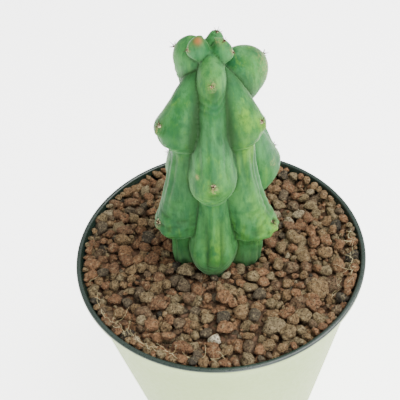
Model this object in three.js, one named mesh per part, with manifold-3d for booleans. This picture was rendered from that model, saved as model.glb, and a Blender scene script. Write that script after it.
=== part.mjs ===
// A potted variegated boobie cactus: a swollen-ribbed columnar cactus in a round plastic nursery pot,
// with potting mix inside and red lava grit on top.
// Millimetres, +Z up. The origin is the centre of the pot's foot, on the surface that it stands on.

import * as THREE from 'three';
import { mergeVertices } from 'three/addons/utils/BufferGeometryUtils.js';
import Module from 'manifold-3d';

const wasm = await Module();
wasm.setup();

// Driving dimensions of the pot
const POT_HEIGHT = 85;
const RIM_RADIUS = 52.5;
const LIP_HEIGHT = 2;
const LIP_OVERHANG = 0.9;
const LIP_THICKNESS = 1.7;
const LIP_ROUNDING = 0.6;
const LIP_SLOPE = 0.4;
const FLARE_HEIGHT = 8;
const FLARE_REACH = 0.9;
const FOOT_RADIUS = 39;
const FOOT_RING_WIDTH = 4.5;
const FOOT_RECESS = 1;
const FOOT_CHAMFER = 1;
const WALL = 1.2;
const FLOOR = 1.4;
const POT_SIDES = 48;
const DRAIN_RADIUS = 4;
const DRAIN_CIRCLE = 24;
const DRAIN_COUNT = 6;
const DRAIN_SIDES = 12;
const DRAIN_TURN = Math.PI / 12;
const DRAIN_CUT = 10;

// The filling, as heights above the pot's foot
const GAP = 0.3;
const MIX_TOP = 68;
const GRIT_TOP = 82.6;

// The stones: how far apart they lie, how far their corners stray, and how they stand in their grooves
const STONE_SPACING = 6.1;
const STONE_JITTER = [-1.25, 1.25];
const STONE_RISES = [-0.6, 1.5];
const STONE_TILT = [-0.22, 0.22];
const GROOVE_DEPTHS = [1.6, 3.2];
const SHOULDER_SHARES = [0.55, 0.82];
const SHOULDER_DROPS = [0.2, 1.1];
// How far the layer of stones reaches before it is cut, in radii of the rim
const LAYER_COVER = 4 / 3;

// The stem: it stands a little behind the pot's middle and leans towards +X. Its heights count from STEM_BASE
const STEM_BASE = 80;
const STEM_BACK = 4.5;
const STEM_FOOT_X = -2.6;
const STEM_LEAN = 0.052;
const FOOT_DEPTH = 16;
const FOOT_REACH = 9.5;
const FOOT_HALF = 4.5;
const FOOT_TAPER = 0.94;
const TIP_HALF = 0.9;
const NOSE_CLEARANCE = 3;
const RIB_SIDES = 14;
const RIB_RINGS = 26;
const CORE = [[-FOOT_DEPTH, 7], [8, 9.5], [55, 8], [72, 5.2], [79, 3]];

// How a rib rounds off from its tip to its first nose, and how it turns in from a nose to the crease below.
// Each step is a share of the way down, of the change in reach and of the half width or its change
const TIP_STEPS = [[0.22, 0.5, 0.56], [0.55, 0.85, 0.86]];
const UNDER_STEPS = [[0.4, 0.12, 0.06], [0.75, 0.62, 0.35]];
// Shares of the way from a crease to the next nose
const SWELL_STEPS = [0.25, 0.55, 0.85];
// Limits of a rib's half depth: a share of its half width, a slower rise from a start, and half its reach
const DEPTH_SHARE = 1.25;
const DEPTH_START = 4.6;
const DEPTH_RISE = 0.55;
const DEPTH_BEHIND = 1.5;

// Each rib is a chain of drooping tubercles, from the crown down. Heights are above the stem's base:
// z is the height of the nose with its areole, reach the nose's distance from the stem's axis, half
// the half width across the rib; under is how far below the nose the crease lies, and neck and neckHalf
// are the reach and half width there. swell is how late the rib swells again below the neck: 1 is a
// straight slope. tip is the rib's upper end: height and reach.
const RIBS = [
  {
    azimuth: -90,
    tip: [83.6, 2.4],
    tubercles: [
      { z: 75.4, reach: 10, half: 4.3, under: 9.4, neck: 11.9, neckHalf: 4.8, swell: 1.1 },
      { z: 44, reach: 18.8, half: 7.7, under: 10.4, neck: 14.2, neckHalf: 5.3, swell: 1.6 },
      { z: 12.5, reach: 19.4, half: 8.5, under: 12.5, neck: 16, neckHalf: 4.6 },
    ],
  },
  {
    azimuth: -152,
    tip: [87.8, 4.6],
    tubercles: [
      { z: 84, reach: 7.4, half: 2.7, under: 4.2, neck: 4.6, neckHalf: 2.3, swell: 0.9 },
      { z: 61.2, reach: 19.2, half: 7.4, under: 9.4, neck: 14, neckHalf: 5.9, swell: 1.4 },
      { z: 21.5, reach: 21.8, half: 7.9, under: 5.4, neck: 16.4, neckHalf: 6 },
    ],
  },
  {
    azimuth: -28,
    tip: [86.6, 3.2],
    tubercles: [
      { z: 82, reach: 7, half: 2.6, under: 4, neck: 4.2, neckHalf: 2.2, swell: 0.8 },
      { z: 59.6, reach: 18, half: 7.4, under: 7.6, neck: 14.8, neckHalf: 5.9, swell: 2 },
      { z: 18.5, reach: 24.8, half: 7.8, under: 4.2, neck: 20, neckHalf: 6.4 },
    ],
  },
  {
    azimuth: 31,
    tip: [79.6, 10.5],
    tubercles: [
      { z: 71.2, reach: 20, half: 7.2, under: 9, neck: 15, neckHalf: 5.4, swell: 1.2 },
      { z: 31.5, reach: 28, half: 8.2, under: 12, neck: 20.5, neckHalf: 5.6, swell: 1.5 },
      { z: 6, reach: 20.5, half: 8, under: 10, neck: 14, neckHalf: 5 },
    ],
  },
  {
    azimuth: 65,
    tip: [86.6, 4],
    tubercles: [
      { z: 83, reach: 6.8, half: 2.8, under: 3.4, neck: 6.2, neckHalf: 2.5, swell: 1 },
      { z: 62, reach: 18.5, half: 7.4, under: 11, neck: 14, neckHalf: 5.9, swell: 1.5 },
      { z: 20, reach: 22, half: 7.9, under: 10, neck: 16.5, neckHalf: 6 },
    ],
  },
  {
    azimuth: 148,
    tip: [85, 7.5],
    tubercles: [
      { z: 79.2, reach: 12.2, half: 5.6, under: 9, neck: 10.4, neckHalf: 4.4, swell: 1.3 },
      { z: 37, reach: 17, half: 8, under: 11, neck: 13, neckHalf: 5.4, swell: 1.5 },
      { z: 6, reach: 18.5, half: 8, under: 10, neck: 13, neckHalf: 5 },
    ],
  },
];

// Areoles: a low woolly cushion with a few short spines on each nose
const CUSHION_RADIUS = 0.75;
const CUSHION_SINK = 0.35;
const AREOLE_RISE = 0.15;
const SPINE_LENGTHS = [0.9, 1.6];
const SPINE_RADIUS = 0.25;
const SPINES = 4;
const SPINE_SPREAD = 0.9;

const GRIT_SEED = 41;
const SPINE_SEED = 7;

// A small seeded generator of numbers from 0 to 1
function makeRandom(seed) {
  let state = seed;
  return () => {
    state = (state + 0x6d2b79f5) | 0;
    let t = Math.imul(state ^ (state >>> 15), 1 | state);
    t = (t + Math.imul(t ^ (t >>> 7), 61 | t)) ^ t;
    return ((t ^ (t >>> 14)) >>> 0) / 4294967296;
  };
}

function between(random, [low, high]) {
  return low + (high - low) * random();
}

// Closed geometry to solid, and back
function solidOf(geometry) {
  const bare = geometry.clone();
  bare.deleteAttribute('normal');
  bare.deleteAttribute('uv');
  const merged = mergeVertices(bare, 1e-4);
  return new wasm.Manifold(new wasm.Mesh({
    numProp: 3,
    vertProperties: Float32Array.from(merged.attributes.position.array),
    triVerts: Uint32Array.from(merged.index.array),
  }));
}

function geometryOf(solid) {
  const mesh = solid.getMesh();
  const geometry = new THREE.BufferGeometry();
  geometry.setAttribute('position', new THREE.BufferAttribute(Float32Array.from(mesh.vertProperties), 3));
  geometry.setIndex(new THREE.BufferAttribute(Uint32Array.from(mesh.triVerts), 1));
  geometry.computeVertexNormals();
  return geometry;
}

// Joins solids in pairs, so that each join stays small
function joined(solids) {
  let level = solids;
  while (level.length > 1) {
    const next = [];
    for (let i = 0; i < level.length; i += 2) {
      next.push(i + 1 < level.length ? level[i].add(level[i + 1]) : level[i]);
    }
    level = next;
  }
  return level[0];
}

// Keeps the largest body of a join, so that no scrap hangs loose
function largestBody(solid) {
  return solid.decompose().sort((a, b) => b.volume() - a.volume())[0];
}

// Closed body through rings of points, from the lowest ring to the highest
function loft(rings) {
  const count = rings[0].length;
  const points = rings.flat();
  const index = [];
  for (let k = 0; k + 1 < rings.length; k++) {
    for (let i = 0; i < count; i++) {
      const a = k * count + i;
      const b = k * count + ((i + 1) % count);
      index.push(a, b, b + count, a, b + count, a + count);
    }
  }
  const last = (rings.length - 1) * count;
  for (let i = 1; i + 1 < count; i++) {
    index.push(0, i + 1, i);
    index.push(last, last + i, last + i + 1);
  }
  const geometry = new THREE.BufferGeometry().setFromPoints(points);
  geometry.setIndex(index);
  return geometry;
}

// Turned body from [radius, height] points, round +Z
function turned(profile) {
  const points = profile.map(([radius, height]) => new THREE.Vector2(radius, height));
  return new THREE.LatheGeometry(points, POT_SIDES).rotateX(Math.PI / 2);
}

// Outer radius of the pot's wall at a height: a straight taper that flares out under the lip
function wallRadius(height) {
  const flareStart = POT_HEIGHT - LIP_HEIGHT - FLARE_HEIGHT;
  const underLip = RIM_RADIUS - LIP_OVERHANG;
  const slope = (underLip - FLARE_REACH - FOOT_RADIUS) / (POT_HEIGHT - LIP_HEIGHT);
  const up = Math.max(0, (height - flareStart) / FLARE_HEIGHT);
  return FOOT_RADIUS + slope * height + FLARE_REACH * up * up;
}

function flareHeights() {
  const start = POT_HEIGHT - LIP_HEIGHT - FLARE_HEIGHT;
  return [0, 0.5, 1].map((share) => start + share * FLARE_HEIGHT);
}

function makePot() {
  const floorTop = FOOT_RECESS + FLOOR;
  const ringInner = FOOT_RADIUS - FOOT_RING_WIDTH;
  const lipBottom = POT_HEIGHT - LIP_HEIGHT;
  const lipInner = RIM_RADIUS - LIP_THICKNESS;
  const outside = flareHeights().map((height) => [wallRadius(height), height]);
  const inside = flareHeights().reverse().map((height) => [wallRadius(height) - WALL, height]);
  const wall = solidOf(turned([
    [0, FOOT_RECESS],
    [ringInner - FOOT_RECESS, FOOT_RECESS],
    [ringInner, 0],
    [FOOT_RADIUS - FOOT_CHAMFER, 0],
    [wallRadius(FOOT_CHAMFER), FOOT_CHAMFER],
    ...outside,
    [RIM_RADIUS, lipBottom + LIP_SLOPE],
    [RIM_RADIUS, POT_HEIGHT - LIP_ROUNDING],
    [RIM_RADIUS - LIP_ROUNDING, POT_HEIGHT],
    [lipInner + LIP_ROUNDING, POT_HEIGHT],
    [lipInner, POT_HEIGHT - LIP_ROUNDING],
    ...inside,
    [wallRadius(floorTop) - WALL, floorTop],
    [0, floorTop],
  ]));
  const drain = new THREE.CylinderGeometry(DRAIN_RADIUS, DRAIN_RADIUS, DRAIN_CUT, DRAIN_SIDES);
  drain.rotateX(Math.PI / 2);
  const drains = [solidOf(drain)];
  for (let i = 0; i < DRAIN_COUNT; i++) {
    const angle = (i * 2 * Math.PI) / DRAIN_COUNT + DRAIN_TURN;
    const place = [DRAIN_CIRCLE * Math.cos(angle), DRAIN_CIRCLE * Math.sin(angle), 0];
    drains.push(solidOf(drain.clone().translate(...place)));
  }
  return wall.subtract(joined(drains));
}

// Inside radius left for the filling at a height
function fillRadius(height) {
  return wallRadius(height) - WALL - GAP;
}

function stemAxis(height) {
  return new THREE.Vector3(STEM_FOOT_X + STEM_LEAN * height, STEM_BACK, STEM_BASE + height);
}

// The stations of a rib from its tip to its buried foot, each as height, crest reach and half width
function ribStations(rib) {
  const [tipHeight, tipReach] = rib.tip;
  const first = rib.tubercles[0];
  const stations = [[tipHeight, tipReach, TIP_HALF]];
  for (const [down, out, width] of TIP_STEPS) {
    stations.push([
      tipHeight - down * (tipHeight - first.z),
      tipReach + out * (first.reach - tipReach),
      width * first.half,
    ]);
  }
  rib.tubercles.forEach((tubercle, k) => {
    const { z, reach, half, under, neck, neckHalf, swell } = tubercle;
    stations.push([z, reach, half]);
    for (const [down, inwards, narrower] of UNDER_STEPS) {
      stations.push([
        z - down * under,
        reach - inwards * (reach - neck),
        half - narrower * (half - neckHalf),
      ]);
    }
    stations.push([z - under, neck, neckHalf]);
    const next = rib.tubercles[k + 1];
    if (next) {
      for (const share of SWELL_STEPS) {
        const swollen = share ** swell;
        stations.push([
          z - under - share * (z - under - next.z),
          neck + swollen * (next.reach - neck),
          neckHalf + Math.sqrt(swollen * share) * (next.half - neckHalf),
        ]);
      }
    }
  });
  const { z: lowest, under, neck, neckHalf } = rib.tubercles.at(-1);
  stations.push([(lowest - under - FOOT_DEPTH) / 2, FOOT_TAPER * neck, neckHalf]);
  stations.push([-FOOT_DEPTH, FOOT_REACH, FOOT_HALF]);
  return stations.map((station) => new THREE.Vector3(...station));
}

// Half depth of a rib, from its crest in towards the axis
function ribDepth(half, reach) {
  return Math.min(DEPTH_SHARE * half, DEPTH_START + DEPTH_RISE * half, reach / 2 + DEPTH_BEHIND);
}

// One closed rib. grow makes it larger all round, for the hole that the stem stands in
function makeRib(rib, grow = 0) {
  const curve = new THREE.CatmullRomCurve3(ribStations(rib), false, 'centripetal');
  const azimuth = THREE.MathUtils.degToRad(rib.azimuth);
  const rings = [];
  for (let k = RIB_RINGS; k >= 0; k--) {
    const { x: height, y: reach, z: half } = curve.getPoint(k / RIB_RINGS);
    const depth = ribDepth(half, reach);
    const ring = [];
    for (let i = 0; i < RIB_SIDES; i++) {
      const turn = (i * 2 * Math.PI) / RIB_SIDES;
      const out = reach - depth + (depth + grow) * Math.cos(turn);
      const across = (half + grow) * Math.sin(turn);
      ring.push(stemAxis(height).add(new THREE.Vector3(
        out * Math.cos(azimuth) - across * Math.sin(azimuth),
        out * Math.sin(azimuth) + across * Math.cos(azimuth),
        0,
      )));
    }
    rings.push(ring);
  }
  if (grow > 0) rings[0].forEach((point) => { point.z -= grow; });
  return solidOf(loft(rings));
}

// The round core that the ribs grow from
function makeCore(grow = 0) {
  const rings = CORE.map(([height, radius], k) => {
    const centre = stemAxis(height);
    if (k === 0) centre.z -= grow;
    return Array.from({ length: RIB_SIDES }, (_, i) => {
      const turn = (i * 2 * Math.PI) / RIB_SIDES;
      return new THREE.Vector3(Math.cos(turn), Math.sin(turn), 0).multiplyScalar(radius + grow).add(centre);
    });
  });
  return solidOf(loft(rings));
}

// An areole on a rib's nose: a cushion with its spines, as solids to be fused to the stem
function areoleSolids(rib, tubercle, random) {
  const azimuth = THREE.MathUtils.degToRad(rib.azimuth);
  const outward = new THREE.Vector3(Math.cos(azimuth), Math.sin(azimuth), AREOLE_RISE).normalize();
  const seat = stemAxis(tubercle.z).addScaledVector(outward, tubercle.reach - CUSHION_SINK);
  const toOutward = new THREE.Quaternion().setFromUnitVectors(new THREE.Vector3(0, 1, 0), outward);
  const cushion = new THREE.IcosahedronGeometry(CUSHION_RADIUS, 0).applyQuaternion(toOutward);
  const solids = [solidOf(cushion.translate(seat.x, seat.y, seat.z))];
  for (let i = 0; i < SPINES; i++) {
    const length = between(random, SPINE_LENGTHS) + CUSHION_RADIUS;
    const turn = (i * 2 * Math.PI) / SPINES + random();
    const spread = new THREE.Vector3(Math.cos(turn), 0, Math.sin(turn)).multiplyScalar(SPINE_SPREAD);
    const direction = spread.setY(1).normalize().applyQuaternion(toOutward);
    const spine = new THREE.ConeGeometry(SPINE_RADIUS, length, 3).translate(0, length / 2, 0);
    spine.applyQuaternion(new THREE.Quaternion().setFromUnitVectors(new THREE.Vector3(0, 1, 0), direction));
    solids.push(solidOf(spine.translate(seat.x, seat.y, seat.z)));
  }
  return solids;
}

function makeStem() {
  const random = makeRandom(SPINE_SEED);
  const body = joined([makeCore(), ...RIBS.map((rib) => makeRib(rib))]);
  const lowest = GRIT_TOP + NOSE_CLEARANCE - STEM_BASE;
  const areoles = [];
  for (const rib of RIBS) {
    for (const tubercle of rib.tubercles) {
      if (tubercle.z > lowest) areoles.push(...areoleSolids(rib, tubercle, random));
    }
  }
  return largestBody(body.add(joined(areoles)));
}

// The stem's foot with a gap all round, for cutting its hole
function stemHole() {
  return joined([makeCore(GAP), ...RIBS.map((rib) => makeRib(rib, GAP))]);
}

function makePottingMix(hole) {
  const bottom = FOOT_RECESS + FLOOR + GAP;
  const plug = solidOf(turned([
    [0, bottom],
    [fillRadius(bottom), bottom],
    [fillRadius(MIX_TOP), MIX_TOP],
    [0, MIX_TOP],
  ]));
  return plug.subtract(hole);
}

// The stones as a packed layer: a honeycomb whose corners are moved at random, with a stone in each cell.
// The corners lie deep in the grooves, and each stone rises from them to an angular top.
function stoneLayer(random) {
  const points = [];
  const index = [];
  const corners = new Map();
  const edges = new Map();
  const cornerReach = STONE_SPACING / Math.sqrt(3);
  const rows = Math.ceil((LAYER_COVER * RIM_RADIUS) / STONE_SPACING);

  const cornerAt = (x, y) => {
    const place = [x, Math.sqrt(3) * y].map((value) => Math.round((2 * value) / STONE_SPACING));
    const key = place.join(' ');
    if (!corners.has(key)) {
      const shift = [x + between(random, STONE_JITTER), y + between(random, STONE_JITTER)];
      points.push(new THREE.Vector3(...shift, GRIT_TOP - between(random, GROOVE_DEPTHS)));
      corners.set(key, points.length - 1);
    }
    return corners.get(key);
  };

  for (let row = -rows; row <= rows; row++) {
    for (let column = -rows; column <= rows; column++) {
      const x = STONE_SPACING * (column + (row % 2 === 0 ? 0 : 0.5));
      const y = (STONE_SPACING * Math.sqrt(3) * row) / 2;
      const cell = Array.from({ length: 6 }, (_, k) => {
        const angle = ((2 * k + 1) * Math.PI) / 6;
        return cornerAt(x + cornerReach * Math.cos(angle), y + cornerReach * Math.sin(angle));
      });
      const centre = new THREE.Vector3();
      cell.forEach((corner) => centre.addScaledVector(points[corner], 1 / 6));
      const top = GRIT_TOP + between(random, STONE_RISES);
      const tilt = [between(random, STONE_TILT), between(random, STONE_TILT)];
      const shoulder = cell.map((corner) => {
        const point = centre.clone().lerp(points[corner], between(random, SHOULDER_SHARES));
        point.z = top - between(random, SHOULDER_DROPS);
        point.z += tilt[0] * (point.x - centre.x) + tilt[1] * (point.y - centre.y);
        return points.push(point) - 1;
      });
      const peak = points.push(new THREE.Vector3(centre.x, centre.y, top)) - 1;
      for (let k = 0; k < 6; k++) {
        const next = (k + 1) % 6;
        index.push(cell[k], cell[next], shoulder[next], cell[k], shoulder[next], shoulder[k]);
        index.push(shoulder[k], shoulder[next], peak);
        edges.set(`${cell[k]} ${cell[next]}`, [cell[k], cell[next]]);
      }
    }
  }

  // Walls down from the outermost edges, and a flat underside
  const outline = [...edges.values()].filter(([from, to]) => !edges.has(`${to} ${from}`));
  const underside = new Map();
  const below = (corner) => {
    if (!underside.has(corner)) {
      const { x, y } = points[corner];
      underside.set(corner, points.push(new THREE.Vector3(x, y, MIX_TOP - GAP)) - 1);
    }
    return underside.get(corner);
  };
  const middle = points.push(new THREE.Vector3(0, 0, MIX_TOP - GAP)) - 1;
  for (const [from, to] of outline) {
    index.push(from, below(from), below(to), from, below(to), to);
    index.push(middle, below(to), below(from));
  }
  const geometry = new THREE.BufferGeometry().setFromPoints(points);
  geometry.setIndex(index);
  return solidOf(geometry);
}

// The grit fills the pot between the potting mix and the stones' tops, and is cut to the pot's wall
function makeGrit(hole) {
  const bottom = MIX_TOP + GAP;
  const limit = solidOf(turned([
    [0, bottom],
    [fillRadius(bottom), bottom],
    ...flareHeights().map((height) => [fillRadius(height), height]),
    [fillRadius(POT_HEIGHT), POT_HEIGHT],
    [0, POT_HEIGHT],
  ]));
  const layer = stoneLayer(makeRandom(GRIT_SEED)).intersect(limit);
  return largestBody(layer.subtract(hole));
}

function finish(color, roughness) {
  return new THREE.MeshStandardMaterial({ color, roughness, metalness: 0 });
}

function piece(name, solid, material) {
  const mesh = new THREE.Mesh(geometryOf(solid), material);
  mesh.name = name;
  return mesh;
}

const hole = stemHole();
const group = new THREE.Group();
group.add(piece('pot', makePot(), finish(0xccd8b8, 0.45)));
group.add(piece('potting_mix', makePottingMix(hole), finish(0x3a2a20, 1)));
group.add(piece('lava_grit', makeGrit(hole), finish(0x7d5341, 0.95)));
group.add(piece('cactus', makeStem(), finish(0x6aa06c, 0.55)));

export default group;
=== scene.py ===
"""A potted variegated boobie cactus: the fine visual model of a cactus in a pot with lava grit.

The stem is a swollen-ribbed columnar cactus. It stands in red lava grit in a round two-tone
nursery pot. Sizes are in millimetres in the classes and become metres when a mesh is made. +Z is
up, the pot stands on z = 0 and the front of the stem looks along -Y.
"""

import logging
import math
from collections.abc import Callable, Iterable, Sequence
from dataclasses import dataclass, field
from enum import Enum
from functools import lru_cache

import bmesh
import bpy
import numpy as np
from mathutils import Matrix, Vector, noise
from mathutils.bvhtree import BVHTree


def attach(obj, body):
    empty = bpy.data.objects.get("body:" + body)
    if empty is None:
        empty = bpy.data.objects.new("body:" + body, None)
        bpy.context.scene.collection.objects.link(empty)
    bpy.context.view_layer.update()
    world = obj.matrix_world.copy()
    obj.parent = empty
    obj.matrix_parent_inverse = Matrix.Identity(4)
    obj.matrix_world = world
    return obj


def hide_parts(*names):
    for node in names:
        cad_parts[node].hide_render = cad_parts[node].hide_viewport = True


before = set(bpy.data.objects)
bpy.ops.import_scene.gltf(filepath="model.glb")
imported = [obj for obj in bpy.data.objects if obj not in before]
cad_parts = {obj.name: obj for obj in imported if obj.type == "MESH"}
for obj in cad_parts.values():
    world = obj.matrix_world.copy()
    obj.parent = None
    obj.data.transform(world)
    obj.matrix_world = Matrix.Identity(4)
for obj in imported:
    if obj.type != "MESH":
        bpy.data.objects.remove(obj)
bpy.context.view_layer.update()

logging.basicConfig(level=logging.INFO, format="%(name)s: %(message)s")
log = logging.getLogger("cactus")

MM = 0.001
SHIFT_FACTORS = (1.0, 1.7, 2.3)
Array = np.ndarray
Faces = list[list[int]]
Pair = tuple[float, float]
Triple = tuple[float, float, float]
Colour = tuple[float, float, float]
Piece = bpy.types.Object
Socket = bpy.types.NodeSocket


# Helpers for numbers


def smoothstep(low: float, high: float, values: Array) -> Array:
    """Ease values from 0 at low to 1 at high.

    Args:
        low: Where the step starts.
        high: Where the step ends; it may lie below low.
        values: The numbers to ease.

    Returns:
        Numbers from 0 to 1.
    """
    share = np.clip((values - low) / (high - low), 0.0, 1.0)
    return share * share * (3.0 - 2.0 * share)


def bell(values: Array, width: float) -> Array:
    """Return a bump that is 1 at 0 and fades over about twice the width."""
    return np.exp(-((values / width) ** 2))


def noise_field(points: Array, scale: float, shift: float) -> Array:
    """Sample smooth noise at points.

    Args:
        points: Places in millimetres, one row each.
        scale: Size of the noise's features in millimetres.
        shift: Offset that sets this noise apart from another.

    Returns:
        Noise from about -1 to 1 for each point.
    """
    offset = Vector([shift * factor for factor in SHIFT_FACTORS])
    return np.array([noise.noise(Vector(point / scale) + offset) for point in points])


def noise_sum(points: Array, rows: Sequence[Triple]) -> Array:
    """Add up noises at points, each from its row of strength, size and shift."""
    return sum(strength * noise_field(points, size, shift) for strength, size, shift in rows)


def even_turns(count: int) -> Array:
    """Return that many angles, evenly round a full turn from 0."""
    return np.arange(count) * 2 * math.pi / count


# Helpers for meshes


def add_object(name: str, data: bpy.types.ID) -> Piece:
    """Make an object and link it to the scene.

    Args:
        name: Name of the object.
        data: Its mesh, camera or light.

    Returns:
        The new object.
    """
    made = bpy.data.objects.new(name, data)
    bpy.context.scene.collection.objects.link(made)
    return made


def mesh_object(
    name: str, points: Array, faces: Sequence[Sequence[int]], smooth: bool = True
) -> Piece:
    """Make a mesh object from points in millimetres.

    Args:
        name: Name of the piece.
        points: Vertices in millimetres.
        faces: Vertex numbers of each face.
        smooth: Whether the faces are shaded smooth.

    Returns:
        The new piece.
    """
    mesh = bpy.data.meshes.new(name)
    numbers = [list(map(int, face)) for face in faces]
    mesh.from_pydata((np.asarray(points) * MM).tolist(), [], numbers)
    mesh.polygons.foreach_set("use_smooth", [smooth] * len(mesh.polygons))
    mesh.update()
    return add_object(name, mesh)


def body_object(name: str, body: bmesh.types.BMesh, smooth: bool = False) -> Piece:
    """Make an object from a mesh body, which is freed.

    Args:
        name: Name of the object.
        body: The body, in metres.
        smooth: Whether the faces are shaded smooth.

    Returns:
        The new object.
    """
    mesh = bpy.data.meshes.new(name)
    body.to_mesh(mesh)
    body.free()
    mesh.polygons.foreach_set("use_smooth", [smooth] * len(mesh.polygons))
    return add_object(name, mesh)


def vertex_rows(piece: Piece, what: str) -> Array:
    """Read a property of a piece's vertices.

    Args:
        piece: The piece.
        what: The property, "co" for places in metres or "normal".

    Returns:
        One row of three numbers for each vertex.
    """
    flat = np.zeros(len(piece.data.vertices) * 3, np.float32)
    piece.data.vertices.foreach_get(what, flat)
    return flat.reshape(-1, 3).astype(float)


def set_points(piece: Piece, points: Array) -> None:
    """Move the vertices of a piece to points in millimetres."""
    piece.data.vertices.foreach_set("co", (points * MM).astype(np.float32).ravel())
    piece.data.update()


def paint(piece: Piece, name: str, values: Array) -> None:
    """Store one number for each vertex of a piece, for its finish to read."""
    attribute = piece.data.attributes.new(name, "FLOAT", "POINT")
    attribute.data.foreach_set("value", np.asarray(values, np.float32))


def apply_modifiers(piece: Piece) -> None:
    """Replace the mesh of a piece by what its modifiers make of it.

    Args:
        piece: The piece.
    """
    graph = bpy.context.evaluated_depsgraph_get()
    made = bpy.data.meshes.new_from_object(piece.evaluated_get(graph))
    piece.modifiers.clear()
    old = piece.data
    piece.data = made
    bpy.data.meshes.remove(old)


def sharpen_edges(piece: Piece, degrees: float) -> None:
    """Shade a piece smooth, apart from its sharp edges.

    Args:
        piece: The piece.
        degrees: The turn from which an edge counts as sharp.
    """
    body = bmesh.new()
    body.from_mesh(piece.data)
    for face in body.faces:
        face.smooth = True
    for edge in body.edges:
        if len(edge.link_faces) == 2:
            edge.smooth = edge.calc_face_angle() < math.radians(degrees)
    body.to_mesh(piece.data)
    body.free()


def ring_faces(rings: int, sides: int, closed: bool = False) -> Faces:
    """List the quads between rings of points.

    Args:
        rings: Number of rings.
        sides: Number of points in each ring.
        closed: Whether the last ring joins the first.

    Returns:
        Vertex numbers of each quad.
    """
    faces = []
    for k in range(rings if closed else rings - 1):
        after = (k + 1) % rings
        for i in range(sides):
            j = (i + 1) % sides
            faces.append([k * sides + i, k * sides + j, after * sides + j, after * sides + i])
    return faces


def tube_faces(rings: int, sides: int) -> Faces:
    """List the faces of a tube of rings whose two ends are closed.

    Args:
        rings: Number of rings.
        sides: Number of points in each ring.

    Returns:
        Vertex numbers of each face.
    """
    last = (rings - 1) * sides
    caps = [list(range(sides))[::-1], list(range(last, last + sides))]
    return ring_faces(rings, sides) + caps


def joined(parts: Iterable[tuple[Array, Faces]]) -> tuple[Array, Faces]:
    """Join the points and faces of several bodies.

    Args:
        parts: Each body's points and faces.

    Returns:
        The points and faces of all of them together.
    """
    points, faces, count = [], [], 0
    for part, part_faces in parts:
        points.append(part)
        faces += [[count + number for number in face] for face in part_faces]
        count += len(part)
    return np.concatenate(points), faces


def sphere_pattern(level: int) -> tuple[Array, Array]:
    """Make the pattern of an icosphere.

    Args:
        level: How often it is subdivided.

    Returns:
        Its directions and its triangles.
    """
    body = bmesh.new()
    bmesh.ops.create_icosphere(body, subdivisions=level, radius=1.0)
    directions = np.array([vertex.co[:] for vertex in body.verts])
    triangles = np.array([[vertex.index for vertex in face.verts] for face in body.faces])
    body.free()
    return directions, triangles


# Finishes


@dataclass(frozen=True)
class Pattern:
    """Noise with features of a size in millimetres; a low stretch draws it out along the height."""

    size: float
    detail: float = 3.0
    rough: float = 0.55
    stretch: float = 1.0


@dataclass(frozen=True)
class Layer:
    """A colour over those below it, which shows more where a pattern goes from low to high.

    Its share goes from least to most. Where painted names a number on the mesh, that multiplies it.
    """

    colour: Colour
    pattern: Pattern | None = None
    low: float = 0.0
    high: float = 1.0
    most: float = 1.0
    least: float = 0.0
    painted: str = ""


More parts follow.
